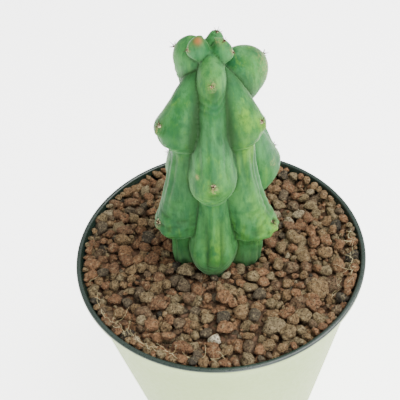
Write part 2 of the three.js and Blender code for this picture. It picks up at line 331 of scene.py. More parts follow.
class NodeBoard:
    """The node tree of one material, with short ways to add the nodes that the finishes use.

    MIX_COLOURS and MIX_RESULT are the numbers of a Mix node's colour sockets, whose names repeat.
    """

    MIX_COLOURS = (6, 7)
    MIX_RESULT = 2

    def __init__(self, name: str) -> None:
        """Start a material with one principled shader.

        Args:
            name: Name of the material.
        """
        self.material = bpy.data.materials.new(name)
        self.material.use_nodes = True
        self.nodes = self.material.node_tree.nodes
        self.links = self.material.node_tree.links
        self.shader = self.nodes["Principled BSDF"]
        self.found: dict[Pattern, Socket] = {}
        coordinates = self.add("TexCoord", {}).outputs["Object"]
        scaled = self.add("VectorMath", {0: coordinates, "Scale": 1.0 / MM}, operation="SCALE")
        self.place = scaled.outputs[0]

    def add(self, kind: str, inputs: dict[str | int, object], **settings: str) -> bpy.types.Node:
        """Add a node.

        Args:
            kind: Type of the node, without its ShaderNode.
            inputs: What its inputs are linked or set to, by name or number.
            **settings: The node's own settings.

        Returns:
            The node.
        """
        node = self.nodes.new("ShaderNode" + kind)
        for name, value in settings.items():
            setattr(node, name, value)
        for key, value in inputs.items():
            self.feed(node.inputs[key], value)
        return node

    def feed(self, socket: Socket, value: object) -> None:
        """Link a socket to a value, or set it where the value is a number or a colour.

        Args:
            socket: The socket.
            value: Another socket, a number, or red, green and blue.
        """
        if isinstance(value, Socket):
            self.links.new(value, socket)
        elif socket.type == "RGBA":
            socket.default_value = (*value, 1.0)
        else:
            socket.default_value = value

    def noise(self, pattern: Pattern) -> Socket:
        """Add the noise of a pattern, or find it where the board already has it.

        Args:
            pattern: The pattern.

        Returns:
            The noise as a socket from 0 to 1.
        """
        if pattern not in self.found:
            place = self.place
            if pattern.stretch != 1.0:
                factors = {0: place, 1: (1.0, 1.0, pattern.stretch)}
                place = self.add("VectorMath", factors, operation="MULTIPLY").outputs[0]
            inputs = {
                "Scale": 1.0 / pattern.size,
                "Detail": pattern.detail,
                "Roughness": pattern.rough,
                "Vector": place,
            }
            self.found[pattern] = self.add("TexNoise", inputs).outputs["Fac"]
        return self.found[pattern]

    def cells(self, size: float) -> Socket:
        """Add cell distances, with cells of that size in millimetres."""
        inputs = {"Scale": 1.0 / size, "Vector": self.place}
        return self.add("TexVoronoi", inputs).outputs["Distance"]

    def painted(self, name: str) -> Socket:
        """Return the number that was stored on the mesh under that name."""
        return self.add("Attribute", {}, attribute_name=name).outputs["Fac"]

    def ramp(self, value: Socket, stops: Sequence[tuple[float, Colour]]) -> Socket:
        """Turn a value into a colour.

        Args:
            value: The value, from 0 to 1.
            stops: Each position of the ramp with its colour.

        Returns:
            The colour.
        """
        node = self.add("ValToRGB", {"Fac": value})
        node.color_ramp.interpolation = "EASE"
        elements = node.color_ramp.elements
        while len(elements) < len(stops):
            elements.new(0.5)
        for element, (position, colour) in zip(elements, stops):
            element.position = position
            element.color = (*colour, 1.0)
        return node.outputs["Color"]

    def span(
        self, value: Socket, low: float, high: float, out_low: float = 0.0, out_high: float = 1.0
    ) -> Socket:
        """Map a value smoothly from one range onto another.

        Args:
            value: The value.
            low: Start of its range.
            high: End of its range; it may lie below low.
            out_low: What low becomes.
            out_high: What high becomes.

        Returns:
            The mapped value.
        """
        inputs = {"From Min": low, "From Max": high, "To Min": out_low, "To Max": out_high}
        node = self.add("MapRange", inputs | {"Value": value}, interpolation_type="SMOOTHSTEP")
        return node.outputs["Result"]

    def math(self, operation: str, first: object, second: object) -> Socket:
        """Return the outcome of a math node of that operation."""
        return self.add("Math", {0: first, 1: second}, operation=operation).outputs[0]

    def blend(self, share: object, first: object, second: object) -> Socket:
        """Mix two colours.

        Args:
            share: How much of the second colour shows, a socket or a number.
            first: The first colour, a socket or red, green and blue.
            second: The second colour, likewise.

        Returns:
            The mixed colour.
        """
        under, over = self.MIX_COLOURS
        inputs = {"Factor": share, under: first, over: second}
        return self.add("Mix", inputs, data_type="RGBA").outputs[self.MIX_RESULT]

    def share(self, layer: Layer) -> Socket | float:
        """Work out how much of a layer shows.

        Args:
            layer: The layer, with a pattern, a painted number or both.

        Returns:
            Its share, from 0 to 1.
        """
        share: object = layer.most
        if layer.pattern:
            value = self.noise(layer.pattern)
            share = self.span(value, layer.low, layer.high, layer.least, layer.most)
        if layer.painted:
            painted = self.painted(layer.painted)
            share = painted if share == 1.0 else self.math("MULTIPLY", painted, share)
        return share

    def cover(self, colour: object, layers: Iterable[Layer]) -> Socket:
        """Lay layers over a colour.

        Args:
            colour: The lowest colour, a socket or red, green and blue.
            layers: The layers, from the lowest up.

        Returns:
            The colour of all of them together.
        """
        for layer in layers:
            colour = self.blend(self.share(layer), colour, layer.colour)
        return colour

    def bump(self, height: Socket, depth: float) -> None:
        """Give the shader relief of that depth in millimetres."""
        node = self.add("Bump", {"Height": height, "Distance": depth * MM, "Strength": 1.0})
        self.links.new(node.outputs["Normal"], self.shader.inputs["Normal"])

    def finish(self, colour: object, roughness: object, **sockets: object) -> bpy.types.Material:
        """Set colour, roughness and other sockets of the shader.

        Args:
            colour: Base colour, a socket or red, green and blue.
            roughness: Roughness, a socket or a number.
            **sockets: Further shader inputs, with underscores for blanks in their names.

        Returns:
            The finished material.
        """
        self.feed(self.shader.inputs["Base Color"], colour)
        self.feed(self.shader.inputs["Roughness"], roughness)
        for name, value in sockets.items():
            self.feed(self.shader.inputs[name.replace("_", " ")], value)
        return self.material


@dataclass(frozen=True)
class SkinFinish:
    """Waxy skin of the stem: blue-green bloom, mid green, and yellow-green variegation.

    Painted shade darkens its creases and hollows, and painted light lifts its foot and crowns.
    """

    # dark green of the dark streaks, and also the colour of the painted shade in the stem's creases
    deep: Colour = (0.010, 0.034, 0.007)
    green: Colour = (0.014, 0.098, 0.015)
    teal: Colour = (0.007, 0.070, 0.024)
    # pale bloom, which is also the colour of the painted light at the foot and on two crowns
    bloom_and_painted_light: Colour = (0.047, 0.186, 0.055)
    lime: Colour = (0.115, 0.275, 0.016)
    cork: Colour = (0.28, 0.23, 0.09)
    rust: Colour = (0.30, 0.085, 0.022)
    # greyish colour of the painted light near the soil, which lifts and greys the shaded foot
    dust: Colour = (0.115, 0.150, 0.085)
    down: Colour = (0.62, 0.95, 0.52)
    patches: Pattern = Pattern(9.0, 4.0, 0.6)
    marbling: Pattern = Pattern(6.0, 6.0, 0.66, 0.45)
    clouds: Pattern = Pattern(5.0, 4.0, 0.6)
    blotches: Pattern = Pattern(3.2, 5.0, 0.7)
    veins: Pattern = Pattern(3.4, 5.0, 0.68, 0.22)
    streaks: Pattern = Pattern(2.0, 5.0, 0.65, 0.1)
    flecks: Pattern = Pattern(0.9, 5.0, 0.7)
    crumbs: Pattern = Pattern(0.9, 3.0, 0.7)
    grain: Pattern = Pattern(0.8, 4.0, 0.6)
    relief: float = 0.07
    cork_sink: float = -0.6
    wax_span: Pair = (0.3, 0.7)
    smoothest: float = 0.46
    roughest: float = 0.64
    shine: float = 0.12
    down_share: float = 0.20
    down_roughness: float = 0.35

    def layers(self) -> tuple[Layer, ...]:
        """List the layers over the green.

        Returns:
            The layers, from the lowest up.
        """
        return (
            Layer(self.teal, self.patches, 0.42, 0.58),
            Layer(self.bloom_and_painted_light, self.marbling, 0.45, 0.62, 0.8),
            Layer(self.lime, self.marbling, 0.36, 0.6, 1.0, 0.25, "lime"),
            Layer(self.lime, self.streaks, 0.53, 0.7, 0.5),
            # pale bloom; its painted number also holds painted light at the foot and on two crowns
            Layer(self.bloom_and_painted_light, most=0.6, painted="bloom_and_painted_light"),
            Layer(self.green, self.blotches, 0.5, 0.68, 0.5),
            Layer(self.teal, self.clouds, 0.54, 0.68, 0.4),
            Layer(self.deep, self.streaks, 0.46, 0.3, 0.45),
            Layer(self.teal, self.veins, 0.47, 0.68, 0.65),
            Layer(self.bloom_and_painted_light, self.veins, 0.46, 0.34, 0.5),
            Layer(self.bloom_and_painted_light, self.flecks, 0.6, 0.75, 0.4),
            # painted light: a greyish lift over the shaded foot, read from the dust number
            Layer(self.dust, self.flecks, 0.3, 0.6, 1.0, 0.5, "dust"),
            # painted shade: dark green in the furrows, folds, hollows, wrinkles and shaded ribs
            Layer(self.deep, painted="painted_shade"),
            self.corky(),
            Layer(self.rust, painted="rust"),
        )

    def corky(self) -> Layer:
        """Return the layer of crumbled cork, which is also sunk a little."""
        return Layer(self.cork, self.crumbs, 0.44, 0.6, 1.0, 0.05, "cork")

    def make(self) -> bpy.types.Material:
        """Make the material, which reads the numbers that the carving paints on the mesh.

        Returns:
            The material.
        """
        board = NodeBoard("skin")
        colour = board.cover(self.green, self.layers())
        sunk = board.math("MULTIPLY", board.share(self.corky()), self.cork_sink)
        board.bump(board.math("ADD", board.noise(self.grain), sunk), self.relief)
        flecks = board.noise(self.flecks)
        wax = board.span(flecks, *self.wax_span, self.smoothest, self.roughest)
        return board.finish(
            colour, wax, Specular_IOR_Level=self.shine, Sheen_Weight=self.down_share,
            Sheen_Roughness=self.down_roughness, Sheen_Tint=self.down,
        )


@dataclass(frozen=True)
class LavaFinish:
    """Rough volcanic stone, whose colour and brightness differ from stone to stone."""

    tones: tuple[tuple[float, Colour], ...] = (
        (0.00, (0.036, 0.032, 0.024)),
        (0.06, (0.092, 0.072, 0.046)),
        (0.16, (0.125, 0.084, 0.048)),
        (0.32, (0.178, 0.090, 0.044)),
        (0.48, (0.222, 0.115, 0.055)),
        (0.62, (0.205, 0.130, 0.062)),
        (0.80, (0.188, 0.138, 0.070)),
        (0.92, (0.220, 0.168, 0.092)),
        (0.98, (0.290, 0.240, 0.150)),
        (1.00, (0.600, 0.540, 0.390)),
    )
    dust: Colour = (0.325, 0.260, 0.145)
    pore: Colour = (0.026, 0.016, 0.010)
    # colour of the painted shade in the gaps between the stones
    gap: Colour = (0.036, 0.022, 0.012)
    patches: Pattern = Pattern(1.1, 6.0, 0.7)
    holes: Pattern = Pattern(0.5, 3.0, 0.7)
    crust: Pattern = Pattern(0.8, 5.0, 0.72)
    hole_span: Pair = (0.38, 0.5)
    hole_share: float = 0.8
    hole_depth: float = 0.5
    relief: float = 0.6
    roughness: float = 0.93
    shine: float = 0.25

    def make(self) -> bpy.types.Material:
        """Make the material, which reads the tone and shade numbers of the mesh.

        Returns:
            The material.
        """
        board = NodeBoard("lava_stone")
        holes = board.span(board.noise(self.holes), *self.hole_span, 1.0, 0.0)
        colour = board.cover(
            board.ramp(board.painted("tone"), self.tones),
            (
                Layer(self.dust, self.patches, 0.5, 0.66, 0.6),
                Layer(self.pore, self.patches, 0.46, 0.34, 0.55),
            ),
        )
        colour = board.blend(board.math("MULTIPLY", holes, self.hole_share), colour, self.pore)
        # painted shade: the stones darken lower down, towards the gaps between them
        colour = board.cover(colour, (Layer(self.gap, painted="shade"),))
        depth = board.math("MULTIPLY", holes, self.hole_depth)
        board.bump(board.math("SUBTRACT", board.noise(self.crust), depth), self.relief)
        return board.finish(colour, self.roughness, Specular_IOR_Level=self.shine)


@dataclass(frozen=True)
class SoilFinish:
    """Dark crumbly potting mix of bark, peat and dust."""

    dark: Colour = (0.022, 0.014, 0.009)
    bark: Colour = (0.10, 0.055, 0.03)
    crumb: float = 2.2
    crumb_span: Pair = (0.2, 0.75)
    flecks: Pattern = Pattern(0.8, 4.0, 0.7)
    grain: Pattern = Pattern(0.6, 4.0)
    relief: float = 0.6
    roughness: float = 0.96
    shine: float = 0.2

    def make(self, name: str) -> bpy.types.Material:
        """Make the material.

        Args:
            name: Its name.

        Returns:
            The material.
        """
        board = NodeBoard(name)
        crumbs = board.cells(self.crumb)
        colour = board.blend(board.span(crumbs, *self.crumb_span), self.bark, self.dark)
        colour = board.cover(colour, (Layer(self.bark, self.flecks, 0.55, 0.75, 0.5),))
        board.bump(board.math("ADD", crumbs, board.noise(self.grain)), self.relief)
        return board.finish(colour, self.roughness, Specular_IOR_Level=self.shine)


@dataclass(frozen=True)
class PlasticFinish:
    """Thin moulded plastic with faint flow marks and rubbed spots."""

    name: str
    base: Colour
    worn: Colour
    roughness: float
    shine: float = 0.35
    flow: Pattern = Pattern(16.0, 4.0, 0.6, 0.25)
    rubs: Pattern = Pattern(1.6, 6.0, 0.72)
    waves: Pattern = Pattern(9.0, 2.0)
    rub_height: float = 0.2
    relief: float = 0.12
    gloss_span: Pair = (0.3, 0.75)
    polish: float = 0.05
    scuffing: float = 0.15

    def make(self) -> bpy.types.Material:
        """Make the material.

        Returns:
            The material.
        """
        board = NodeBoard(self.name)
        marks = (
            Layer(self.worn, self.flow, 0.3, 0.7, 0.35),
            Layer(self.worn, self.rubs, 0.6, 0.78, 0.5),
        )
        colour = board.cover(self.base, marks)
        rubs = board.noise(self.rubs)
        height = board.math("MULTIPLY", rubs, self.rub_height)
        board.bump(board.math("ADD", board.noise(self.waves), height), self.relief)
        smoothest, roughest = self.roughness - self.polish, self.roughness + self.scuffing
        gloss = board.span(rubs, *self.gloss_span, smoothest, roughest)
        return board.finish(colour, gloss, Specular_IOR_Level=self.shine)


@dataclass(frozen=True)
class HairFinish:
    """Fine dry matter, such as wool, spines and fibres, from a dark root colour to a pale one."""

    name: str
    dark: Colour
    pale: Colour
    grain: Pattern = Pattern(0.5, 4.0, 0.65)
    ramp: Pair = (0.35, 0.65)
    relief: float = 0.1
    roughness: float = 0.8
    shine: float = 0.3

    def make(self) -> bpy.types.Material:
        """Make the material.

        Returns:
            The material.
        """
        board = NodeBoard(self.name)
        strands = board.noise(self.grain)
        board.bump(strands, self.relief)
        colour = board.ramp(strands, tuple(zip(self.ramp, (self.dark, self.pale))))
        return board.finish(colour, self.roughness, Specular_IOR_Level=self.shine)


@dataclass(frozen=True)
class FloorFinish:
    """Plain pale matt floor, which glows a little so that it shows almost white."""

    base: Colour = (0.95, 0.95, 0.945)
    light: Colour = (1.0, 1.0, 0.99)
    glow: float = 3.3
    roughness: float = 0.9
    shine: float = 0.1

    def make(self) -> bpy.types.Material:
        """Make the material.

        Returns:
            The material.
        """
        return NodeBoard("pale_floor").finish(
            self.base, self.roughness, Specular_IOR_Level=self.shine,
            Emission_Color=self.light, Emission_Strength=self.glow,
        )


# The stem


@dataclass(frozen=True)
class Tubercle:
    """One drooping tubercle of a rib; heights count from the stem's base.

    z is the nose's height, reach its distance from the axis and half the half width there. under
    is how far below the nose the crease lies, neck and neck_half the reach and half width at the
    crease, and swell how late the rib swells again below it.
    """

    z: float
    reach: float
    half: float
    under: float
    neck: float
    neck_half: float
    swell: float = 1.0


@dataclass(frozen=True)
class Rib:
    """A chain of tubercles down the stem at an azimuth in degrees, from a tip (height, reach)."""

    azimuth: float
    tip: Pair
    tubercles: tuple[Tubercle, ...]


class CrestCurve:
    """The centripetal Catmull-Rom curve through a rib's stations (height, reach, half width)."""

    def __init__(self, stations: Sequence[Sequence[float]]) -> None:
        """Keep the stations, from the tip down."""
        self.stations = np.array(stations, float)

    def at(self, share: float) -> Array:
        """Find a point of the curve.

        Args:
            share: How far along the stations it lies, from 0 to 1.

        Returns:
            Its height, reach and half width.
        """
        points = self.stations
        last = len(points) - 1
        whole = min(int(share * last), last - 1)
        weight = share * last - whole
        before = points[whole - 1] if whole > 0 else 2 * points[0] - points[1]
        start, end = points[whole], points[whole + 1]
        after = points[whole + 2] if whole + 2 <= last else 2 * points[last] - points[last - 1]
        spans = ((before, start), (start, end), (end, after))
        d0, d1, d2 = (np.sqrt(np.linalg.norm(b - a)) for a, b in spans)
        t1 = ((start - before) / d0 - (end - before) / (d0 + d1) + (end - start) / d1) * d1
        t2 = ((end - start) / d1 - (after - start) / (d1 + d2) + (after - end) / d2) * d1
        square = -3 * start + 3 * end - 2 * t1 - t2
        cube = 2 * start - 2 * end + t1 + t2
        return start + t1 * weight + square * weight**2 + cube * weight**3

    def sampled(self, count: int) -> Array:
        """Return that many points from the tip to the foot."""
        return np.array([self.at(k / (count - 1)) for k in range(count)])


@dataclass(frozen=True)
class StemForm:
    """The sizes of the stem's body and the formulas of its ribs.

    tip_steps and under_steps say how a rib rounds off from its tip to the first nose and from a
    nose to the crease below: shares of the way down, of the change in reach and of the half width
    or its change. swell_steps are shares of the way from a crease to the next nose, and the depth
    numbers limit a rib's half depth: a share of its half width, a slower rise from a start, and
    half its reach.
    """

    base: float = 80.0
    back: float = 4.5
    foot_x: float = -2.6
    lean: float = 0.052
    foot_depth: float = 16.0
    foot_reach: float = 9.5
    foot_half: float = 4.5
    foot_taper: float = 0.94
    tip_half: float = 0.9
    tip_margin: float = 0.5
    tip_steps: tuple[Triple, ...] = ((0.22, 0.5, 0.56), (0.55, 0.85, 0.86))
    under_steps: tuple[Triple, ...] = ((0.4, 0.12, 0.06), (0.75, 0.62, 0.35))
    swell_steps: Triple = (0.25, 0.55, 0.85)
    depth_share: float = 1.25
    depth_start: float = 4.6
    depth_rise: float = 0.55
    depth_behind: float = 1.5
    crest_steps: int = 160
    core: tuple[Pair, ...] = ((-16.0, 7.0), (8.0, 9.5), (55.0, 8.0), (72.0, 5.2), (79.0, 3.0))
    ribs: tuple[Rib, ...] = (
        Rib(-90.0, (83.6, 2.4), (
            Tubercle(75.4, 10.0, 4.3, 9.4, 11.9, 4.8, 1.1),
            Tubercle(44.0, 18.8, 7.7, 10.4, 14.2, 5.3, 1.6),
            Tubercle(12.5, 19.4, 8.5, 12.5, 16.0, 4.6),
        )),
        Rib(-152.0, (87.8, 4.6), (
            Tubercle(84.0, 7.4, 2.7, 4.2, 4.6, 2.3, 0.9),
            Tubercle(61.2, 19.2, 7.4, 9.4, 14.0, 5.9, 1.4),
            Tubercle(21.5, 21.8, 7.9, 5.4, 16.4, 6.0),
        )),
        Rib(-28.0, (86.6, 3.2), (
            Tubercle(82.0, 7.0, 2.6, 4.0, 4.2, 2.2, 0.8),
            Tubercle(59.6, 18.0, 7.4, 7.6, 14.8, 5.9, 2.0),
            Tubercle(18.5, 24.8, 7.8, 4.2, 20.0, 6.4),
        )),
        Rib(31.0, (79.6, 10.5), (
            Tubercle(71.2, 20.0, 7.2, 9.0, 15.0, 5.4, 1.2),
            Tubercle(31.5, 28.0, 8.2, 12.0, 20.5, 5.6, 1.5),
            Tubercle(6.0, 20.5, 8.0, 10.0, 14.0, 5.0),
        )),
        Rib(65.0, (86.6, 4.0), (
            Tubercle(83.0, 6.8, 2.8, 3.4, 6.2, 2.5, 1.0),
            Tubercle(62.0, 18.5, 7.4, 11.0, 14.0, 5.9, 1.5),
            Tubercle(20.0, 22.0, 7.9, 10.0, 16.5, 6.0),
        )),
        Rib(148.0, (85.0, 7.5), (
            Tubercle(79.2, 12.2, 5.6, 9.0, 10.4, 4.4, 1.3),
            Tubercle(37.0, 17.0, 8.0, 11.0, 13.0, 5.4, 1.5),
            Tubercle(6.0, 18.5, 8.0, 10.0, 13.0, 5.0),
        )),
    )

    def axis(self, heights: Array) -> Array:
        """Find points of the leaning axis.

        Args:
            heights: Their heights above the stem's base.

        Returns:
            The points.
        """
        heights = np.asarray(heights, float)
        x = self.foot_x + self.lean * heights
        return np.stack([x, np.full_like(x, self.back), self.base + heights], axis=-1)

    def stations(self, rib: Rib) -> list[Triple]:
        """List the stations that a rib's crest runs through.

        Args:
            rib: The rib.

        Returns:
            Each station's height, reach and half width, from the tip to the foot.
        """
        tip_height, tip_reach = rib.tip
        first = rib.tubercles[0]
        found = [(tip_height, tip_reach, self.tip_half)]
        for down, out, width in self.tip_steps:
            found.append((
                tip_height - down * (tip_height - first.z),
                tip_reach + out * (first.reach - tip_reach),
                width * first.half,
            ))
        for part, below in zip(rib.tubercles, (*rib.tubercles[1:], None)):
            found.append((part.z, part.reach, part.half))
            for down, inwards, narrower in self.under_steps:
                found.append((
                    part.z - down * part.under,
                    part.reach - inwards * (part.reach - part.neck),
                    part.half - narrower * (part.half - part.neck_half),
                ))
            crease = part.z - part.under
            found.append((crease, part.neck, part.neck_half))
            if below is None:
                continue
            for share in self.swell_steps:
                swollen = share**part.swell
                found.append((
                    crease - share * (crease - below.z),
                    part.neck + swollen * (below.reach - part.neck),
                    part.neck_half + math.sqrt(swollen * share) * (below.half - part.neck_half),
                ))
        lowest = rib.tubercles[-1]
        soil = (lowest.z - lowest.under - self.foot_depth) / 2
        found.append((soil, self.foot_taper * lowest.neck, lowest.neck_half))
        found.append((-self.foot_depth, self.foot_reach, self.foot_half))
        return found

    def depth(self, half: Array, reach: Array) -> Array:
        """Return a rib's half depth from its crest towards the axis."""
        wide = np.minimum(self.depth_share * half, self.depth_start + self.depth_rise * half)
        return np.minimum(wide, reach / 2 + self.depth_behind)

    def local(self, rib: Rib, points: Array) -> tuple[Array, Array, Array]:
        """Measure points in a rib's own frame.

        Args:
            rib: The rib.
            points: Places in millimetres.

        Returns:
            Their heights, outward reaches and sideways distances.
        """
        heights = points[:, 2] - self.base
        offset = points[:, :2] - self.axis(heights)[:, :2]
        angle = math.radians(rib.azimuth)
        out = offset @ np.array([math.cos(angle), math.sin(angle)])
        across = offset @ np.array([-math.sin(angle), math.cos(angle)])
        return heights, out, across

    def fullness(self, rib: Rib, points: Array, grow: Array | float = 0.0) -> tuple[Array, Array]:
        """Say how far out points lie in a rib.

        Args:
            rib: The rib.
            points: Places in millimetres.
            grow: How much larger the rib is taken to be.

        Returns:
            For each point a number that is 1 on the rib's surface and less inside, and its turn
            from the crest.
        """
        heights, out, across = self.local(rib, points)
        samples = crest_samples(self, rib)
        reach = np.interp(heights, samples[:, 0], samples[:, 1])
        half = np.interp(heights, samples[:, 0], samples[:, 2])
        depth = self.depth(half, reach)
        u = (out - reach + depth) / (depth + grow)
        v = across / (half + grow)
        above = np.maximum(0.0, heights - samples[-1, 0] + self.tip_margin)
        return np.hypot(u, v) + above, np.arctan2(v, u)

    def clearance(self, points: Array, grow: Array | float) -> Array:
        """Return the least fullness of points in any rib, grown by that much."""
        return np.min([self.fullness(rib, points, grow)[0] for rib in self.ribs], axis=0)


@lru_cache(maxsize=None)
def crest_samples(form: StemForm, rib: Rib) -> Array:
    """Return a rib's height, reach and half width at close steps from its foot to its tip."""
    return CrestCurve(form.stations(rib)).sampled(form.crest_steps)[::-1]


@dataclass(frozen=True)
class Band:
    """A stretch of values: over rise it eases in, and over fall it eases out again."""

    rise: Pair
    fall: Pair

    def at(self, values: Array) -> Array:
        """Return 1 inside the band, 0 outside it and a smooth step between."""
        return smoothstep(*self.rise, values) * smoothstep(*self.fall, values)


@dataclass(frozen=True)
class RibLook:
    """What sets one rib's skin apart, each as a strength from 0 up.

    tint is its yellow-green. The next three give painted shade: in the folds under its noses, over
    its whole length, and on its side towards (+) or against (-) the turn. The fifth gives painted
    light on its crown. A withered rib has a wrinkled lowest nose.
    """

    tint: float
    folds: float = 0.7
    shade: float = 0.0
    flank_shade: float = 0.0
    painted_crown_light: float = 0.0
    withered: bool = False


@dataclass(frozen=True)
class Pleat:
    """A long furrow down a rib, with its place across the rib, width, extent, depth and the
    strength of its painted shade.

    Over the heights of spread, where that is given, it runs out from the crest line to its own
    place. A pale edge beside it shows where edge is above 0.
    """

    rib: int
    across: float
    width: float
    extent: Band
    depth: float
    shade: float
    spread: Pair | None = None
    edge: float = 0.0


@dataclass(frozen=True)
class LimePatch:
    """A yellow-green patch on a rib: its middle (across, height), half sizes and strength."""

    rib: int
    middle: Pair
    sizes: Pair
    strength: float

    def at(self, across: Array, heights: Array) -> Array:
        """Return how strong the patch is at places of its rib."""
        wide = bell(across - self.middle[0], self.sizes[0])
        return self.strength * wide * bell(heights - self.middle[1], self.sizes[1])


@dataclass
class SkinMarks:
    """What the carving gathers for each point of the skin: its move and the finish's numbers."""

    push: Array
    painted_shade: Array
    bloom_and_painted_light: Array
    lime: Array
    cork: Array
    rust: Array


@dataclass(frozen=True)
class RibSkin:
    """The skin as one rib sees it, with a number for each point.

    heights and across are places in the rib's frame and turn is the turn from its crest. own is 1
    on the rib's own skin and fades towards its neighbours, and front is the same on its outer side
    alone.
    """

    heights: Array
    across: Array
    turn: Array
    own: Array
    front: Array
    wrinkles: Array


@dataclass(frozen=True)
class SkinCarving:
    """The fine forms of the skin, in millimetres, and the strengths of its marks.

    Depths and heights are how far the skin moves, shades how much painted shade, in the dark
    furrow colour, shows, and blooms how much of the pale bloom colour shows; at the foot and on
    two crowns that is painted light. A pair is a bell's (strength, width), a bell's (middle,
    width) or a smooth step's (from, to), a triple a bell's (strength, middle, width), and a number
    with a pair or a band is the strength of that step or band. Noises have rows of (strength,
    size, shift), and the wrinkles' noise has (size, shift, flattening).
    """

    looks: tuple[RibLook, ...] = (
        RibLook(tint=0.45),
        RibLook(tint=0.12, folds=0.9, shade=0.3, flank_shade=0.55, painted_crown_light=0.6, withered=True),
        RibLook(tint=0.9, folds=1.5, flank_shade=-0.55, withered=True),
        RibLook(tint=0.5),
        RibLook(tint=0.5),
        RibLook(tint=0.4, painted_crown_light=0.5),
    )
    pleats: tuple[Pleat, ...] = (
        Pleat(0, -2.6, 0.8, Band((6.0, 14.0), (33.0, 22.0)), 0.8, 0.7, (-18.0, 14.0), 1.1),
        Pleat(0, 2.8, 0.8, Band((6.0, 14.0), (33.0, 22.0)), 0.8, 0.7, (-18.0, 14.0), 1.1),
        Pleat(2, 0.6, 1.0, Band((20.0, 33.0), (51.0, 42.0)), 0.8, 0.35),
    )
    lime_patches: tuple[LimePatch, ...] = (
        LimePatch(0, (1.5, 24.0), (4.5, 9.0), 0.55),
        LimePatch(2, (-4.0, 36.0), (3.5, 13.0), 0.75),
        LimePatch(2, (-3.4, 63.0), (1.6, 4.5), 1.0),
        LimePatch(2, (-1.0, 50.5), (4.0, 3.5), 0.6),
    )
    rust_spot: Triple = (-1.6, 1.5, 167.2)
    rust: Pair = (0.8, 1.15)
    cork_spots: tuple[tuple[float, float, float, float], ...] = (
        (19.5, 12.5, 152.0, 5.5),
        (-12.0, 10.0, 160.0, 3.0),
        (3.8, 1.8, 167.2, 1.4),
        (-15.5, -6.5, 134.5, 1.2),
        (20.7, 8.7, 114.7, 1.2),
        (-5.2, -10.7, 127.8, 0.65),
    )
    small_nose: float = 4.0
    small_share: float = 0.45
    lowest_areole: float = 14.0
    outer_side: float = 1.9
    waves: tuple[Triple, ...] = ((0.22, 7.0, 3.0), (0.10, 2.6, 9.0))
    seam_fade: float = 0.12
    seam: tuple[float, Pair] = (0.25, (0.1, 0.0))
    # painted shade along the seams between the ribs and in the valleys beside them
    seam_shade: tuple[float, Pair] = (0.7, (0.12, 0.0))
    valley_shade: Pair = (0.22, 0.45)
    valley: Pair = (0.8, 0.05)
    crown_valleys: Band = Band((44.0, 62.0), (86.0, 76.0))
    seam_bloom: Triple = (1.1, 0.28, 0.09)
    seat: Pair = (0.5, 1.1)
    hollow_drop: float = 2.3
    hollow_width: float = 1.6
    hollow_wide: float = 0.8
    hollow_depth: float = 1.0
    hollow_shade: float = 0.6
    halo: Triple = (0.5, 4.0, 1.6)
    folds: tuple[Pair, ...] = ((4.3, 0.42), (6.0, 0.3), (7.8, 0.2))
    fold_width: float = 0.42
    fold_wave: float = 0.35
    fold_side: Pair = (1.2, 0.5)
    tint_width: float = 7.0
    nose_cork: Pair = (0.8, 1.1)
    small_cork: float = 0.4
    cork_rise: float = 0.9
    cork_tall: float = 0.7
    upper_bloom: tuple[float, Band] = (0.7, Band((2.0, 14.0), (30.0, 16.0)))
    flank_bloom: Triple = (0.6, 1.3, 0.3)
    flank_bloom_drop: Pair = (4.0, 18.0)
    wrinkle_noise: Triple = (2.6, 21.0, 1.8)
    wrinkle_width: float = 9.0
    wrinkle_depth: float = 0.6
    wrinkle_shade: tuple[float, Pair] = (0.75, (0.0, -0.45))
    wrinkle_bloom: tuple[float, Pair] = (0.5, (0.1, 0.5))
    ridge_start: Pair = (2.0, -4.0)
    ridge_end: Pair = (-34.0, -22.0)
    ridge_pitch: float = 2.3
    ridge_wave: Pair = (0.5, 0.13)
    ridge_height: float = 0.24
    ridge_bloom: tuple[float, Pair] = (0.5, (0.3, 1.0))
    ridge_shade: tuple[float, Pair] = (0.12, (-0.3, -1.0))
    edge_place: float = 1.9
    edge_width: float = 1.5
    edge_fade: Pair = (38.0, 26.0)
    rib_shade: Band = Band((2.0, 18.0), (78.0, 40.0))
    flank_turn: Pair = (0.5, 1.7)
    flank_heights: Pair = (60.0, 14.0)
    # heights over which painted light lightens the crown of a rib
    painted_crown_heights: Pair = (70.0, 79.0)
    # painted light that lightens the shaded foot of the stem
    foot_painted_light: tuple[float, Pair] = (0.6, (18.0, 6.0))
    # painted light that greys and lifts the shaded foot, stored as the dust number
    foot_grey_painted_light: tuple[float, Pair] = (0.3, (14.0, 3.0))
    painted_shade_share: float = 0.9

